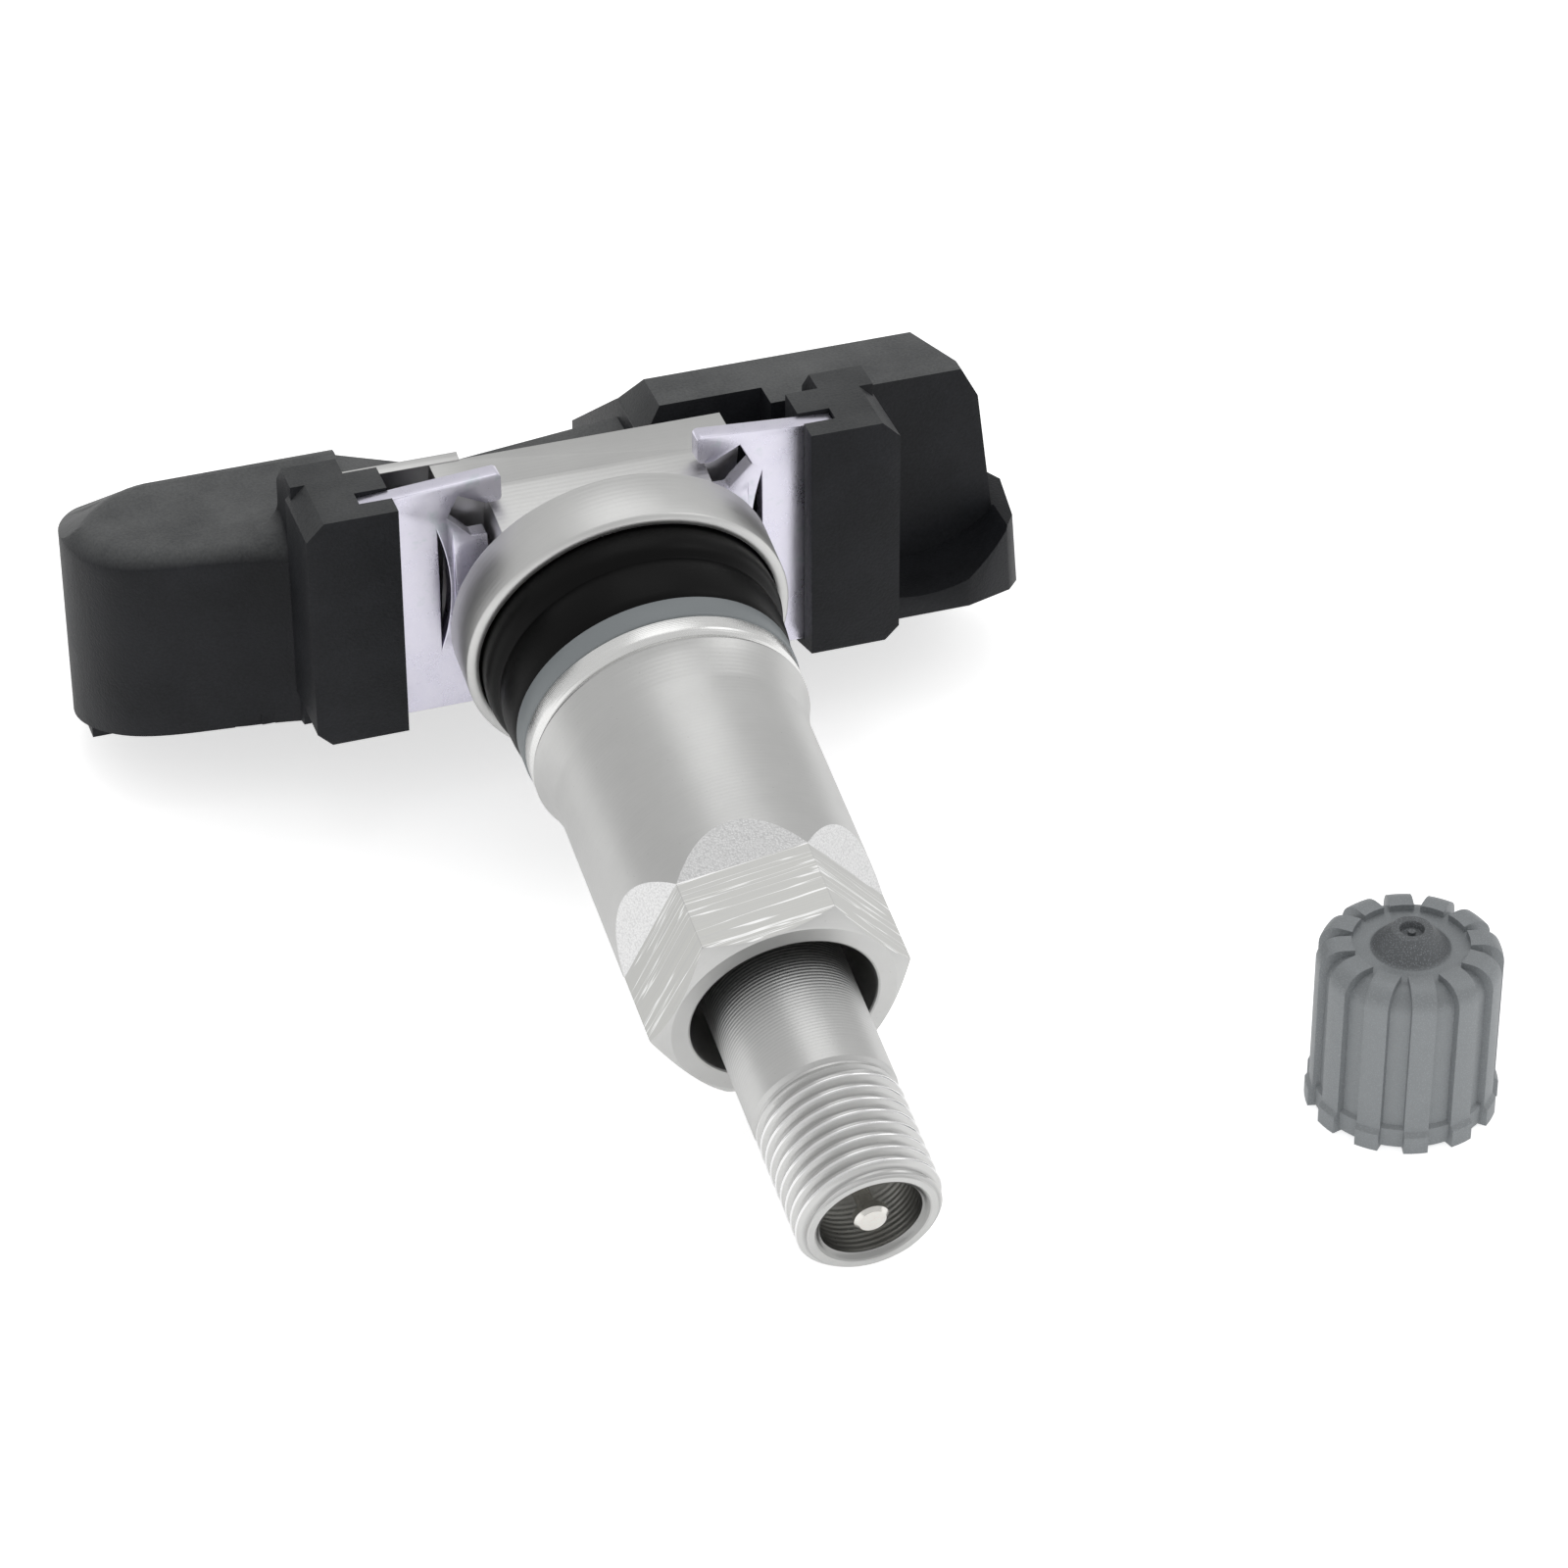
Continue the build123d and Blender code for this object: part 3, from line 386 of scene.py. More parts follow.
# %% Housing plastic
housing_finish = Finish("housing_plastic", specular_ior_level=0.2)
texture = housing_finish.noise(0.16 * mm, detail=2, roughness=0.6)
clouds = housing_finish.noise(3.5 * mm, detail=4)
rubs = ((housing_finish.noise(5 * mm, detail=5, roughness=0.7) - 0.58) * 6).limited()
lint = (housing_finish.cells(2.1 * mm) * -30 + 0.8).limited()
looks_up = housing_finish.part(housing_finish.node("ShaderNodeTexCoord", {}, {}, "Normal"), 2)
level = housing_finish.part(housing_finish.place, 2)
above_deck = level.ramp(-0.8 * mm, 0.8 * mm)
on_pillars = level.ramp(6.6 * mm, 7.2 * mm)
# Painted sheen: faces that look upwards get a lighter tone than the walls.
upper = ((looks_up - 0.25) * 1.5).limited() * above_deck * (1 - on_pillars * 0.45)
speckle = ((clouds - 0.5) * 1.5 + (texture - 0.5) * 1.1 + 0.5).limited()
side_tone = housing_finish.mix(speckle, shade(0.08, 0.085, 0.095), shade(0.145, 0.15, 0.165))
sheen_top_tone = housing_finish.mix(speckle, shade(0.29, 0.295, 0.30), shade(0.42, 0.425, 0.425))
plastic = housing_finish.mix(upper, side_tone, sheen_top_tone)
housing_finish.colour(housing_finish.mix(lint * 0.35, plastic, shade(0.42)))
housing_finish.roughness(texture * 0.16 + clouds * 0.1 + rubs * -0.1 + 0.36)
housing_finish.relief(texture, 0.03 * mm)
housing_plastic = housing_finish.done()

# %% [markdown]
# The bracket is zinc-plated sheet. Its clear passivation has a bluish, slightly uneven sheen with
# hints of green and lilac. Thin-film colour could be worked out from the angle of view, but it is
# faint here, so patches of three close tones are enough, over the fine crystals of the zinc.

# %% Zinc-plated sheet
zinc_finish = Finish("zinc_plate", metallic=1.0)
patches = zinc_finish.noise(1.6 * mm, detail=4, roughness=0.6)
crystals = zinc_finish.noise(0.12 * mm, detail=2)
hue = zinc_finish.mix(patches, shade(0.87, 0.86, 0.93), shade(0.96, 0.95, 0.99))
zinc_finish.colour(zinc_finish.mix(patches.ramp(0.6, 0.8) * 0.5, hue, shade(0.66, 0.76, 0.76)))
zinc_finish.roughness(patches * 0.16 + crystals * 0.12 + 0.16)
zinc_finish.relief(crystals, 0.005 * mm)
zinc_plate = zinc_finish.done()

# %% [markdown]
# The cap is grey plastic with metal flakes in it: tiny points that are brighter than their
# ground. Scattered cells give the flakes, and a satin skin lies over them. The raised cone in the
# middle of its closed end gets painted shade, so its tone follows the distance from the cap's
# axis, which the record's mount in the cap's bore gives.

# %% Metallic grey plastic
cap_x, cap_y = mounts["cap_bore"]["pos_m"][:2]
cone_radius = 2.15 * mm
cap_finish = Finish("cap_plastic", metallic=0.35)
flakes = (cap_finish.cells(0.09 * mm) * -2.4 + 1).limited()
patch = cap_finish.noise(1.5 * mm, detail=4)
skin = cap_finish.noise(0.2 * mm, detail=2)
veil = (patch * 0.6 + skin * 0.4).limited()
ground = cap_finish.mix(veil, shade(0.52, 0.535, 0.545), shade(0.59, 0.605, 0.615))
from_middle = cap_finish.from_axis(cap_finish.turned(shift=(-cap_x, -cap_y, 0)))
# Painted shade on the raised cone in the middle of the cap's closed end.
cone_shade = from_middle.ramp(cone_radius, cone_radius - 0.25 * mm)
ground = cap_finish.mix(cone_shade * 0.75, ground, shade(0.32, 0.33, 0.34))
cap_finish.colour(cap_finish.mix(flakes * 0.55, ground, shade(0.74, 0.76, 0.78)))
cap_finish.roughness(skin * 0.16 + patch * 0.1 + 0.32)
cap_finish.relief(skin * 0.6 + flakes * 0.5, 0.03 * mm)
cap_plastic = cap_finish.done()

# %% [markdown]
# The valve core is nickelled brass, duller on its barrel than on the pin. The cell, tabs, board
# and chips are sealed inside and hardly ever seen, so each gets a plain honest finish from one of
# two recipes: metal here, and the moulded one from above for the rest.


# %% Core and inner finishes
def plain_metal(name, low, high, roughness, grain=0.25 * mm):
    """A metal with slight clouds between two tones."""
    finish = Finish(name, metallic=1.0)
    clouds = finish.noise(grain * 4, detail=4)
    fine = finish.noise(grain, detail=2)
    finish.colour(finish.mix((clouds * 0.7 + fine * 0.3).limited(), low, high))
    finish.roughness(fine * 0.16 + roughness - 0.08)
    finish.relief(fine, 0.004 * mm)
    return finish.done()


core_metal = plain_metal("core_metal", shade(0.68, 0.67, 0.65), shade(0.90, 0.90, 0.88), 0.22)
pin_metal = plain_metal("pin_metal", shade(0.86, 0.85, 0.83), shade(0.97, 0.96, 0.94), 0.2)
spring_metal = plain_metal("spring_metal", shade(0.6), shade(0.72), 0.3)
copper_wire = plain_metal(
    "copper_wire", shade(0.62, 0.34, 0.2), shade(0.78, 0.46, 0.3), 0.35, grain=0.1 * mm
)
can_metal = plain_metal("can_metal", shade(0.7), shade(0.8), 0.3)
board_lacquer = moulded(
    "board_lacquer", shade(0.07, 0.26, 0.15), shade(0.1, 0.36, 0.2), 0.35, 0.3 * mm, 0.01 * mm
)
chip_resin = moulded("chip_resin", shade(0.08), shade(0.13), 0.5, 0.1 * mm, 0.008 * mm)
ferrite_grey = moulded("ferrite_grey", shade(0.2), shade(0.28), 0.5, 0.15 * mm, 0.01 * mm)
ceramic_brown = moulded(
    "ceramic_brown", shade(0.5, 0.4, 0.3), shade(0.6, 0.5, 0.38), 0.4, 0.1 * mm, 0.003 * mm
)
membrane_white = moulded("membrane_white", shade(0.85), shade(0.93), 0.7, 0.08 * mm, 0.01 * mm)

# %% [markdown]
# Twenty solids are already the right shape: the core in the valve's bore, the seal in the cap,
# and all that the housing holds. Remaking them would add nothing that is seen, so they stay as
# they are and only change their material.

# %% Solids that keep their shape
kept_finishes = {
    "core_barrel": core_metal,
    "core_pin": pin_metal,
    "core_seal": rubber,
    "core_poppet": rubber,
    "core_spring": spring_metal,
    "cap_seal": rubber,
    "circuit_board": board_lacquer,
    "battery_can": can_metal,
    "battery_lid": can_metal,
    "battery_gasket": rubber,
    "tab_positive": spring_metal,
    "tab_negative": spring_metal,
    "sensor_chip": chip_resin,
    "chip_lid": can_metal,
    "crystal_can": can_metal,
    "antenna_loop": spring_metal,
    "coil_core": ferrite_grey,
    "coil_winding": copper_wire,
    "chip_capacitors": ceramic_brown,
    "port_filter": membrane_white,
}
for node, material in kept_finishes.items():
    nodes[node].data.materials.clear()
    nodes[node].data.materials.append(material)
print(len(kept_finishes), "solids keep their shape")

# %% [markdown]
# Blender's operators act on all that is selected, and loading leaves every solid selected, so
# everything is deselected before a new piece starts. A finished piece has its place applied, so
# that its object sits at the origin as the solids do, and patterns on it stay where they belong.
# Then it is hung on the body it moves with and given its finish, and the solid that it
# stands for is hidden.


# %% Starting and finishing a piece
def clear_selection():
    """Leaves edit mode and deselects everything."""
    if bpy.context.object and bpy.context.object.mode == "EDIT":
        bpy.ops.object.mode_set(mode="OBJECT")
    bpy.ops.object.select_all(action="DESELECT")


def select_only(piece):
    """Makes a piece the only one that operators act on."""
    clear_selection()
    piece.select_set(True)
    bpy.context.view_layer.objects.active = piece


def apply_modifiers(piece):
    """Makes a piece's modifiers part of its mesh. The piece has to be the active one."""
    for modifier in list(piece.modifiers):
        bpy.ops.object.modifier_apply(modifier=modifier.name)


def finish_piece(piece, name, body, material, replaced, angle=30):
    """Smooths, names, finishes and attaches a piece. Edges sharper than angle, in degrees, stay
    crisp.
    """
    select_only(piece)
    bpy.ops.object.transform_apply(location=True, rotation=True, scale=True)
    bpy.ops.object.shade_smooth_by_angle(angle=math.radians(angle))
    apply_modifiers(piece)
    piece.name = name
    piece.data.name = name
    piece.data.materials.append(material)
    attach(piece, body)
    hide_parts(*replaced)
    print(name, len(piece.data.polygons), "faces")


# %% [markdown]
# The housing, its cover, the bracket and the cap are right as solids, but moulded and sheared
# edges are never quite sharp. The pieces could be modelled again, but a copy of each solid's mesh
# keeps every measure. A solid's mesh is loose triangles, so the copy is merged and its flat faces
# made whole before the Bevel modifier rounds the edges. The modifier holds every edge back to
# what the narrowest face allows. That leaves a few hundredths of a millimetre on the bracket and
# the cover, and next to nothing on the housing and the cap, whose round parts have narrow faces.
# Without that limit, corners shoot out of the mesh there, so it stays on.


# %% Copies with rounded edges
def round_edges(piece, width, segments, angle):
    """Rounds the edges sharper than angle, in degrees, over width mm."""
    bevel = piece.modifiers.new("edges", "BEVEL")
    bevel.width = width * mm
    bevel.segments = segments
    bevel.limit_method = "ANGLE"
    bevel.angle_limit = math.radians(angle)
    apply_modifiers(piece)


def softened_copy(node, width, segments=2, move=None):
    """Copies a solid's mesh, moves corners if asked, and rounds edges as far as faces allow."""
    piece = bpy.data.objects.new(node + "_copy", nodes[node].data.copy())
    bpy.context.scene.collection.objects.link(piece)
    select_only(piece)
    piece.data.materials.clear()
    bpy.ops.object.mode_set(mode="EDIT")
    bpy.ops.mesh.select_all(action="SELECT")
    bpy.ops.mesh.remove_doubles(threshold=0.001 * mm)
    bpy.ops.mesh.dissolve_limited(angle_limit=math.radians(1))
    bpy.ops.object.mode_set(mode="OBJECT")
    for corner in piece.data.vertices if move else []:
        move(corner.co)
    round_edges(piece, width, segments, angle=35)
    return piece


# %% [markdown]
# The housing is the piece that the eye knows the sensor by. In the picture two places of the
# moulding differ a little from the solid: the hump's rear edge lies further back, and the far end
# of the left lobe falls off sooner. Only a few corners are moved for that, by where they are, so
# everything that fits against the housing stays as it was. The cover is welded in from below.

# %% Housing and cover
hump_low, hump_rear, hump_left = 5.6 * mm, 13.2 * mm, 5 * mm
hump_shift = 1.0 * mm
lobe_end = -21 * mm
lobe_tuck = 0.07
lobe_fall = 18
lobe_shoulder = 3 * mm


def soften_housing(corner):
    """Carries the hump's rear edge back and rounds the far end of the left lobe a little more."""
    if corner.z > hump_low and corner.y > hump_rear and corner.x > hump_left:
        corner.y += hump_shift
    beyond = lobe_end - corner.x
    if beyond > 0:
        corner.x += lobe_tuck * beyond
        share = min(max(corner.z / lobe_shoulder, 0), 1)
        corner.z -= lobe_fall * beyond * beyond * share


housing_shell = softened_copy("housing", 0.22, 3, move=soften_housing)
base_lid = softened_copy("base_cover", 0.1)
finish_piece(
    housing_shell, "housing_shell", "housing_body", housing_plastic, ["housing"]
)
finish_piece(
    base_lid, "base_lid", "housing_body", housing_plastic, ["base_cover"]
)

# %% [markdown]
# The bracket is stamped from sheet, and its two edges slide into slots in the housing's pillars.
# Its upper corners would just show above the slots, so they are lowered first, and then the
# sheared edges are rounded a little.


# %% Bracket
def lower_corners(corner):
    """Keeps the sheet's upper corners down inside the slots of the pillars."""
    if abs(corner.x) > 12.5 * mm and corner.z > 8 * mm:
        corner.z = 7.9 * mm


bracket_sheet = softened_copy("mounting_bracket", 0.09, move=lower_corners)
finish_piece(
    bracket_sheet, "bracket_sheet", "housing_body", zinc_plate, ["mounting_bracket"]
)

# %% [markdown]
# A lathe is the natural way to make what was turned on one. The outline of half a section is
# drawn as a ring of corners in the plane of Z and X, and Spin carries it once round. Corners that
# meet on the axis or where the circle closes are merged, and the normals made to point outwards.


# %% A lathe
def lathe(outline, steps=144):
    """Spins a closed outline of (radius, height) corners, in mm, round Z."""
    clear_selection()
    bpy.ops.mesh.primitive_circle_add(vertices=len(outline), radius=1, fill_type="NOTHING")
    piece = bpy.context.object
    for corner, (radius, height) in zip(piece.data.vertices, outline):
        corner.co = (radius * mm, 0, height * mm)
    bpy.ops.object.mode_set(mode="EDIT")
    bpy.ops.mesh.select_all(action="SELECT")
    bpy.ops.mesh.spin(steps=steps, angle=2 * math.pi, center=(0, 0, 0), axis=(0, 0, 1))
    bpy.ops.mesh.select_all(action="SELECT")
    bpy.ops.mesh.remove_doubles(threshold=0.0005 * mm)
    bpy.ops.mesh.normals_make_consistent(inside=False)
    bpy.ops.object.mode_set(mode="OBJECT")
    return piece


def along_valve(piece):
    """Lays a piece that was made upright along the valve."""
    piece.matrix_world = lay_along_valve
    return piece


# %% [markdown]
# The stem and flange are turned from one bar, so one outline makes the cupped flange, the plain
# part with its feed marks, the groove before the thread, the chamfered tip and the bore. The
# flange and the bore are cut with other tools, so their faces, picked by place, get finishes of
# their own, and the bore's finish is darker as painted shade inside it.

# %% Stem and flange
crest = 3.87
root = 3.47
thread_start = 34.65
tip = 41.6
flange_outline = [
    (0, -2.75), (8.8, -2.8), (8.94, -2.75), (9.0, -2.6), (9.0, 0.3), (8.95, 0.42), (8.8, 0.56),
    (8.65, 0.6), (8.5, 0.6), (8.36, 0.55), (8.3, 0.42), (8.3, -0.5),
]
shank_outline = [
    (crest, -0.5), (crest, 34.0), (3.66, 34.2), (3.62, 34.55), (root, 34.8), (root, tip - 0.55),
    (root - 0.02, tip - 0.12), (3.36, tip), (3.05, tip), (2.98, tip - 0.05), (2.67, tip - 0.36),
]
bore_outline = [(2.67, 36.0), (2.2, 35.2), (2.2, 27.5), (0, 26.8)]
turned_stem = along_valve(lathe(flange_outline + shank_outline + bore_outline, 160))
finish_piece(turned_stem, "turned_stem", "valve", stem_metal, ["valve_stem"])
turned_stem.data.materials.append(flange_metal)
turned_stem.data.materials.append(shaded_bore_metal)
flange_front = 1.0 * mm
bore_edge = 2.9 * mm
for face in turned_stem.data.polygons:
    height = face.center.dot(along)
    if height < flange_front:
        face.material_index = 1
    # Faces in the bore take the darker finish, which carries painted shade.
    elif (face.center - along * height).length < bore_edge:
        face.material_index = 2

# %% [markdown]
# The cap thread is coarse, with rounded crests that its finish lightens, partly as wear and partly
# as a painted highlight. Rings would look alike from afar, but a real thread climbs. So one tooth's
# open outline is wound by the Screw modifier, one pitch for each turn, and neighbouring turns are
# merged.


# %% A wound thread
def thread(outline, rise, count, start, steps=96):
    """Winds an open tooth outline of (radius, height) corners, in mm, into a thread."""
    clear_selection()
    bpy.ops.mesh.primitive_circle_add(vertices=len(outline), radius=1, fill_type="NOTHING")
    piece = bpy.context.object
    for corner, (radius, height) in zip(piece.data.vertices, outline):
        corner.co = (radius * mm, 0, (height + start) * mm)
    bpy.ops.object.mode_set(mode="EDIT")
    bpy.ops.mesh.select_all(action="DESELECT")
    bpy.ops.object.mode_set(mode="OBJECT")
    last = len(outline) - 1
    for edge in piece.data.edges:
        edge.select = set(edge.vertices) == {0, last}
    bpy.ops.object.mode_set(mode="EDIT")
    bpy.ops.mesh.select_mode(type="EDGE")
    bpy.ops.mesh.delete(type="EDGE")
    bpy.ops.object.mode_set(mode="OBJECT")
    screw = piece.modifiers.new("wind", "SCREW")
    screw.axis = "Z"
    screw.screw_offset = rise * mm
    screw.iterations = count
    screw.steps = steps
    screw.render_steps = steps
    screw.use_merge_vertices = True
    screw.merge_threshold = 0.002 * mm
    screw.use_normal_calculate = True
    apply_modifiers(piece)
    bpy.ops.object.mode_set(mode="EDIT")
    bpy.ops.mesh.select_all(action="SELECT")
    bpy.ops.mesh.remove_doubles(threshold=0.002 * mm)
    bpy.ops.mesh.normals_make_consistent(inside=False)
    bpy.ops.object.mode_set(mode="OBJECT")
    return piece


# %% [markdown]
# The wound thread starts a turn early and ends past the tip. On a lathe both ends would be
# chamfered off. Here each corner that stands out beyond a limit is drawn in to it: the limit is
# the crest, and it falls towards the groove at one end and the tip's chamfer at the other.

# %% Cap thread
pitch = 0.794
turns = 10
innermost = 3.2
tooth = [
    (root - 0.04, 0.0), (root - 0.02, 0.06), (root + 0.12, 0.16), (crest - 0.07, 0.29),
    (crest, 0.36), (crest, 0.44), (crest - 0.07, 0.51), (root + 0.12, 0.64), (root - 0.02, 0.74),
    (root - 0.04, pitch),
]
cap_thread = thread(tooth, pitch, turns, thread_start - pitch)
for corner in cap_thread.data.vertices:
    radius = math.hypot(corner.co.x, corner.co.y)
    height = corner.co.z / mm
    at_tip = crest - (height - (tip - 0.5)) * 0.9
    at_groove = crest - (thread_start + 0.1 - height) * 0.5
    limit = max(min(crest, at_tip, at_groove), innermost) * mm
    if radius > limit:
        corner.co.x *= limit / radius
        corner.co.y *= limit / radius
    corner.co.z = min(corner.co.z, (tip - 0.08) * mm)
along_valve(cap_thread)
finish_piece(
    cap_thread, "cap_thread", "valve", thread_metal, ["valve_stem"], angle=50
)

# %% [markdown]
# Behind the flange the stem ends in a milled block: a neck that passes the bracket, a wider head
# that the bracket holds, and a small lug at one side. One box could be pushed and pulled into
# it, but three boxes joined by union say plainly which is which. They are rounded together.


# %% Boxes, joined or cut
def box(low, high):
    """A box between two corners, in mm."""
    clear_selection()
    middle = [(a + b) / 2 * mm for a, b in zip(low, high)]
    bpy.ops.mesh.primitive_cube_add(size=1, location=middle)
    piece = bpy.context.object
    piece.scale = [(b - a) * mm for a, b in zip(low, high)]
    bpy.ops.object.transform_apply(location=True, rotation=True, scale=True)
    return piece


def join_solid(piece, other, operation):
    """Joins or cuts piece with other, which is used up."""
    select_only(piece)
    boolean = piece.modifiers.new("join", "BOOLEAN")
    boolean.operation = operation
    boolean.solver = "EXACT"
    boolean.object = other
    apply_modifiers(piece)
    bpy.data.objects.remove(other)
    return piece


# %% Head of the valve
neck_half = 6.0
head_half = 8.2
block_top = 5.2
block_bottom = -5.0
neck = box((-neck_half, block_bottom, -7.4), (neck_half, block_top, -2.2))
head = box((-head_half, block_bottom, -10.3), (head_half, block_top, -7.0))
for corner in head.data.vertices:
    if corner.co.z < -10 * mm and corner.co.y > 0:
        corner.co.y -= 0.6 * mm
lug = box((-12.9, 0.5, -10.8), (-6.5, 4.7, -10.15))
valve_block = join_solid(join_solid(neck, head, "UNION"), lug, "UNION")
round_edges(valve_block, 0.22, 3, angle=40)
along_valve(valve_block)
finish_piece(valve_block, "valve_block", "valve", block_metal, ["valve_stem"])

# %% [markdown]
# The sleeve nut is turned first and milled afterwards, and so is this one. The outline has a
# flared foot, a plain sleeve and an open skirt. Two extra rings just before the flats keep the
# sleeve's smooth shading apart from theirs.

# %% Sleeve nut, turned
nut_radius = 6.98
nut_end = 27.45
nut_bore = 3.92
skirt_bore = 4.97
foot = 7.94
foot_radius = 7.62
flare_start = foot + 0.37
flare_length = 2.23
flare_steps = 8
flare = []
for step in range(flare_steps + 1):
    fall = (foot_radius - nut_radius) * (step / flare_steps) ** 0.75
    flare.append((foot_radius - fall, flare_start + flare_length * step / flare_steps))
foot_outline = [(5.75, foot), (7.2, foot), (7.42, foot + 0.08), (7.58, foot + 0.24)]
sleeve_outline = [
    (nut_radius, 19.4), (nut_radius, 20.1), (nut_radius, nut_end - 0.72),
    (nut_radius - 0.04, nut_end - 0.64), (6.09, nut_end - 0.04), (6.0, nut_end),
]
inside_outline = [
    (5.12, nut_end), (skirt_bore + 0.05, nut_end - 0.05), (skirt_bore, nut_end - 0.15),
    (skirt_bore, nut_end - 8), (nut_bore, nut_end - 8.6), (nut_bore, foot + 1.7),
    (5.75, foot + 1.7),
]
sleeve_nut = lathe(foot_outline + flare + sleeve_outline + inside_outline, 168)

# %% [markdown]
# Six flats are cut into the nut's end for a spanner. A real cutter dips in on a slope and then
# runs level, and that slope leaves the D-shaped face where each flat begins. So the cutter here
# is a wedge joined to a box, and the same pair is used six times round.

# %% Sleeve nut, milled
flat_distance = 6.05
slope_start = 20.3
slope_end = 22.4
cutter_reach = 12
hex_turn = math.radians(9.8)
for side in range(6):
    wedge = box((-6, 0, slope_start), (6, 4, nut_end + 1))
    for corner in wedge.data.vertices:
        at_outside = corner.co.y > 1 * mm
        at_start = corner.co.z < 21 * mm
        inner = nut_radius if at_start else flat_distance
        corner.co.y = (cutter_reach if at_outside else inner) * mm
        if not at_start:
            corner.co.z = slope_end * mm
    shoulder = box((-6, 0, slope_end), (6, 4, nut_end + 1))
    for corner in shoulder.data.vertices:
        corner.co.y = (cutter_reach if corner.co.y > 1 * mm else flat_distance) * mm
    cutter = join_solid(wedge, shoulder, "UNION")
    cutter.matrix_world = Matrix.Rotation(hex_turn + side * math.pi / 3, 4, "Z")
    join_solid(sleeve_nut, cutter, "DIFFERENCE")
along_valve(sleeve_nut)
finish_piece(
    sleeve_nut, "hex_sleeve_nut", "nut", nut_metal, ["sleeve_nut"], angle=18
)

# %% [markdown]
# The cutter leaves another surface than the lathe, so the flats and their sloping run-outs get
# finishes of their own. Each face is told by the way it looks: a flat looks straight out from the
# axis and lies at the flats' distance, and a run-out is tilted by exactly the slope.

# %% Finishes of the milled faces
sleeve_nut.data.materials.append(flat_metal)
sleeve_nut.data.materials.append(facet_metal)
skirt_outside = 5.7 * mm
slope = math.sin(math.atan2(nut_radius - flat_distance, slope_end - slope_start))
for face in sleeve_nut.data.polygons:
    height = face.center.dot(along) / mm
    outward = face.center - along * face.center.dot(along)
    if height > slope_start - 0.1 and outward.length > skirt_outside:
        tilt = face.normal.dot(along)
        distance = face.center.dot((face.normal - along * tilt).normalized()) / mm
        if abs(tilt) < 0.02 and distance < flat_distance + 0.05:
            face.material_index = 1
        elif abs(tilt - slope) < 0.03 and height < slope_end + 0.1:
            face.material_index = 2
finishes = [face.material_index for face in sleeve_nut.data.polygons]
print("faces turned, flat and run-out:", [finishes.count(index) for index in range(3)])

# %% [markdown]
# The grommet, the grey ring and the washer are round too, each with small rounded edges so that
# the joints between them show as fine lines. The grommet has a step, and bulges slightly where it
# is squeezed. The washer's front edge is chamfered and catches the light.

# %% Grommet, ring and washer
seal_outline = [
    (3.9, -0.5), (8.28, -0.5), (8.28, 0.2), (8.2, 0.5), (8.22, 0.9), (8.26, 1.3), (8.24, 1.7),
    (8.16, 2.0), (8.02, 2.24), (7.84, 2.36), (7.76, 2.5), (7.8, 2.75), (7.86, 3.1), (7.88, 3.6),
    (7.84, 4.2), (7.76, 4.8), (7.66, 5.14), (7.52, 5.28), (7.4, 5.3), (5.55, 5.3), (5.55, 7.4),
    (3.9, 7.4),
]
seal = along_valve(lathe(seal_outline))
finish_piece(seal, "grommet", "valve", rubber, ["rim_seal"])

ring_outline = [
    (5.6, 5.3), (7.6, 5.3), (7.67, 5.34), (7.7, 5.42), (7.7, 6.5), (7.66, 6.6), (7.58, 6.65),
    (5.6, 6.65),
]
ring = along_valve(lathe(ring_outline))
finish_piece(ring, "grey_ring", "rings", ring_nylon, ["thrust_ring"])

washer_outline = [
    (5.6, 6.65), (7.54, 6.65), (7.6, 6.69), (7.62, 6.78), (7.62, 7.52), (7.6, 7.6), (7.33, 7.89),
    (7.24, 7.93), (5.6, 7.93),
]
washer = along_valve(lathe(washer_outline))
finish_piece(
    washer, "bright_washer", "rings", washer_metal, ["collar_washer"]
)

# %% [markdown]
# The cap stands beside the valve, its closed end up, with ribs for the fingers. The solid has
# every rib, so its mesh is copied as the housing's is.

# %% Valve cap
ribbed_cap = softened_copy("valve_cap", 0.16, 3)
finish_piece(
    ribbed_cap, "ribbed_cap", "housing_body", cap_plastic, ["valve_cap"]
)

# %% [markdown]
# The table is white and so is what lies beyond it. Stronger lamps could bleach them, but they
# would bleach the sensor too. So the table glows a little of itself, and it and the world show
# the camera more than they give the object: the picture's ground is white, the metal keeps its
# tones, and the table keeps the soft shadow.

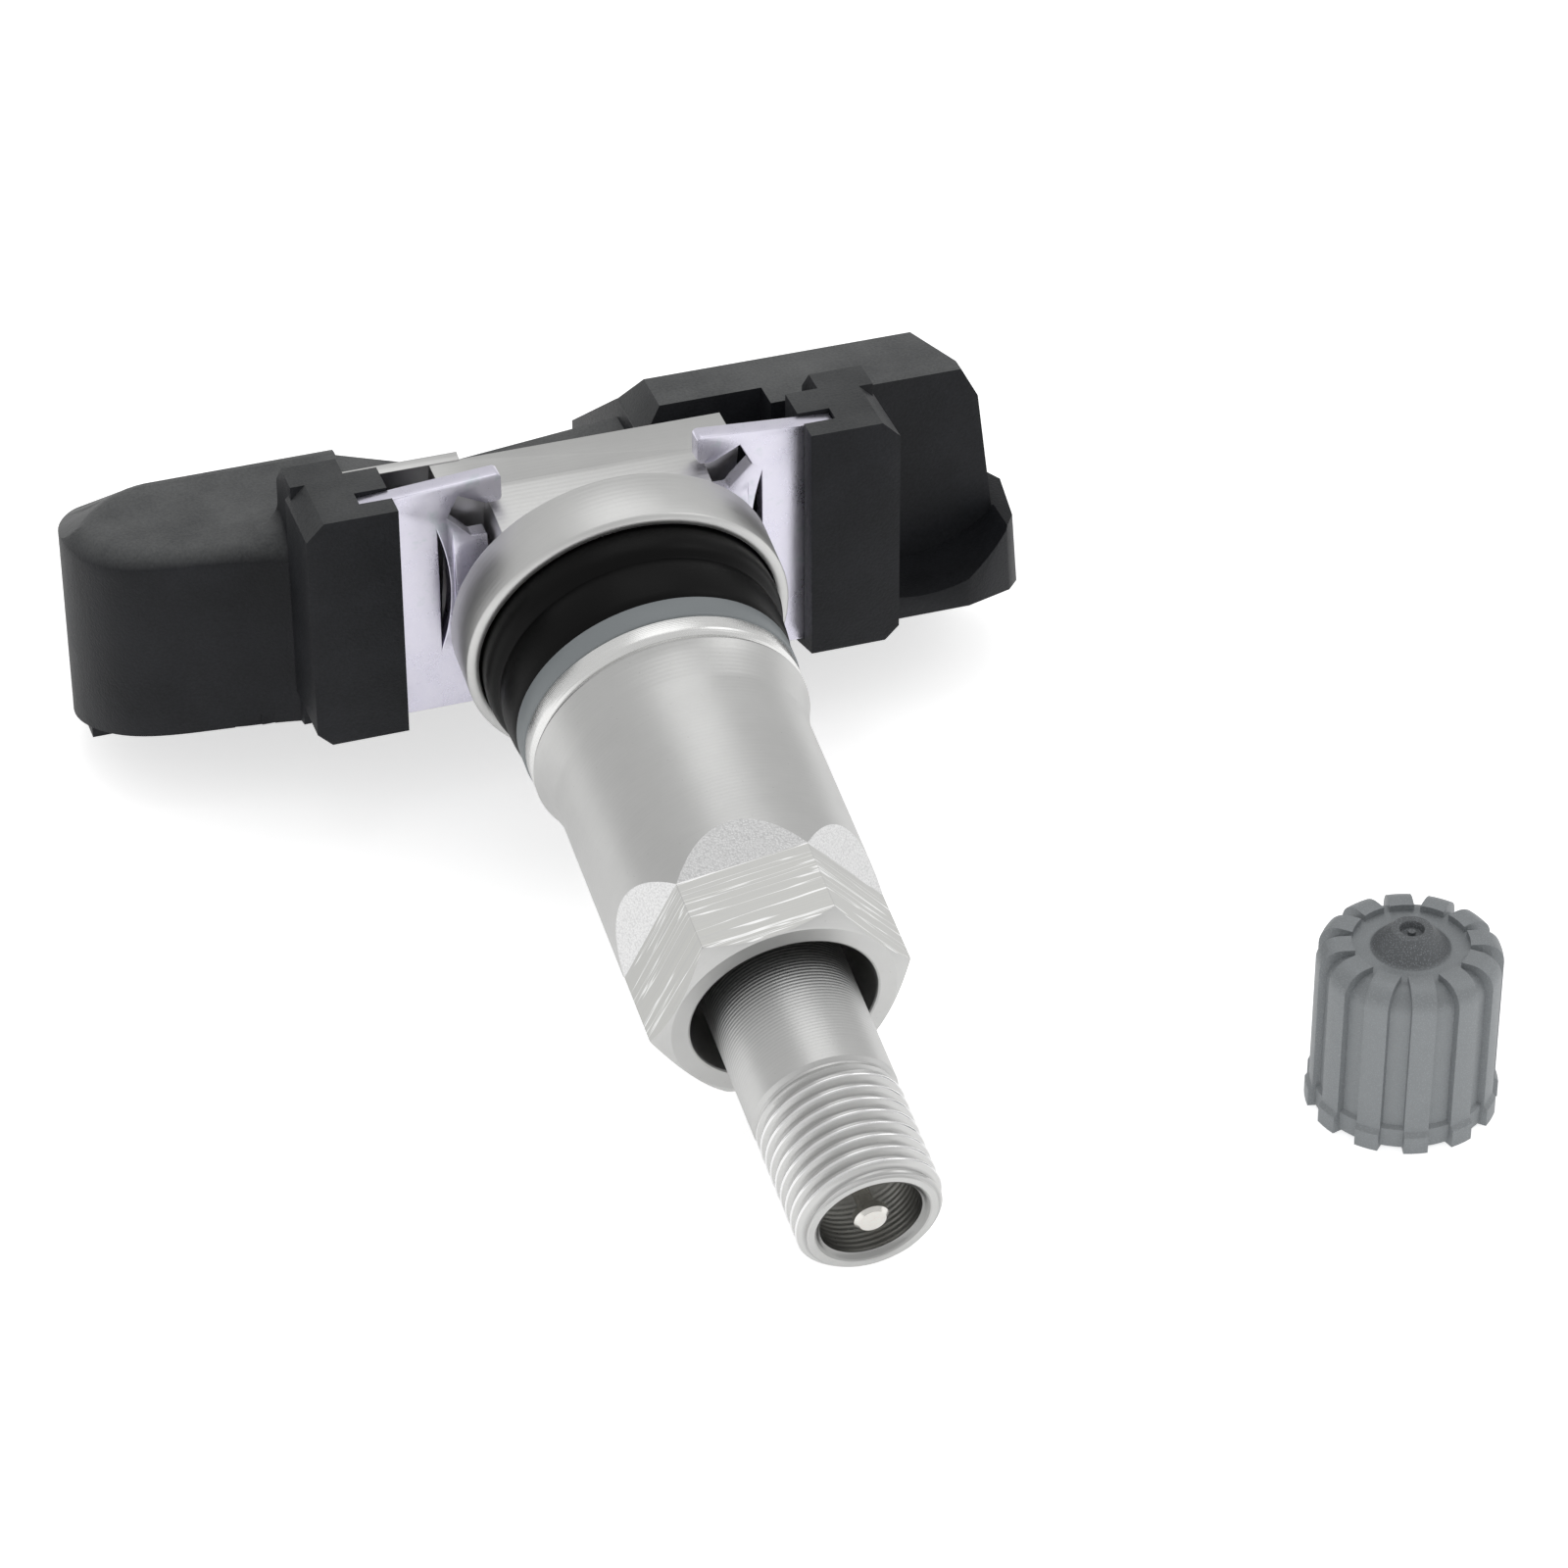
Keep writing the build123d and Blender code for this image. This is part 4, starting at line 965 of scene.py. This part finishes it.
# %% Table and world
table_light, table_seen = 0.38, 0.64
world_light, world_seen = 0.64, 1.0
clear_selection()
bpy.ops.mesh.primitive_plane_add(size=4, location=(0, 0, table_z))
table = bpy.context.object
table.name = "table"
table_finish = Finish("white_table", roughness=0.9)
table_finish.shader.inputs["Base Color"].default_value = (0.93, 0.93, 0.93, 1)
table_finish.shader.inputs["Emission Color"].default_value = (1, 1, 1, 1)
seen = table_finish.node("ShaderNodeLightPath", {}, {}, "Is Camera Ray")
table_finish.join(seen * (table_seen - table_light) + table_light, "Emission Strength")
table.data.materials.append(table_finish.done())

world = bpy.data.worlds.new("studio")
bpy.context.scene.world = world
world.use_nodes = True
sky = world.node_tree.nodes["Background"]
sky.inputs["Color"].default_value = (1, 1, 1, 1)
path = world.node_tree.nodes.new("ShaderNodeLightPath")
brightness = world.node_tree.nodes.new("ShaderNodeMath")
brightness.operation = "MULTIPLY_ADD"
brightness.inputs[1].default_value = world_seen - world_light
brightness.inputs[2].default_value = world_light
world.node_tree.links.new(path.outputs["Is Camera Ray"], brightness.inputs[0])
world.node_tree.links.new(brightness.outputs[0], sky.inputs["Strength"])

# %% [markdown]
# The photograph has soft light from all round and faint shadows. The white world gives most of
# that. A large lamp above and behind draws the upper faces and the shadow in front, and a smaller
# one at the right lifts the valve's right side.


# %% Lamps
def lamp(name, place, size, power):
    """A soft square lamp that faces the middle of the sensor."""
    clear_selection()
    towards = Vector((0, -0.005, 0)) - Vector(place)
    angles = towards.to_track_quat("-Z", "Y").to_euler()
    bpy.ops.object.light_add(type="AREA", location=place, rotation=angles)
    light = bpy.context.object
    light.name = name
    light.data.size = size
    light.data.energy = power
    print(name, "lamp,", power, "W")


lamp("overhead", (0.06, 0.16, 0.70), 0.5, 0.5)
lamp("right", (0.50, -0.10, 0.45), 0.3, 0.3)

bpy.context.scene.view_settings.view_transform = "Standard"

# %% [markdown]
# The dressed model has to keep the solid model's size, so the solid model's box is printed.

# %% The solid model's size
print("solid model", [round(v / mm, 2) for c in cad_box for v in c])
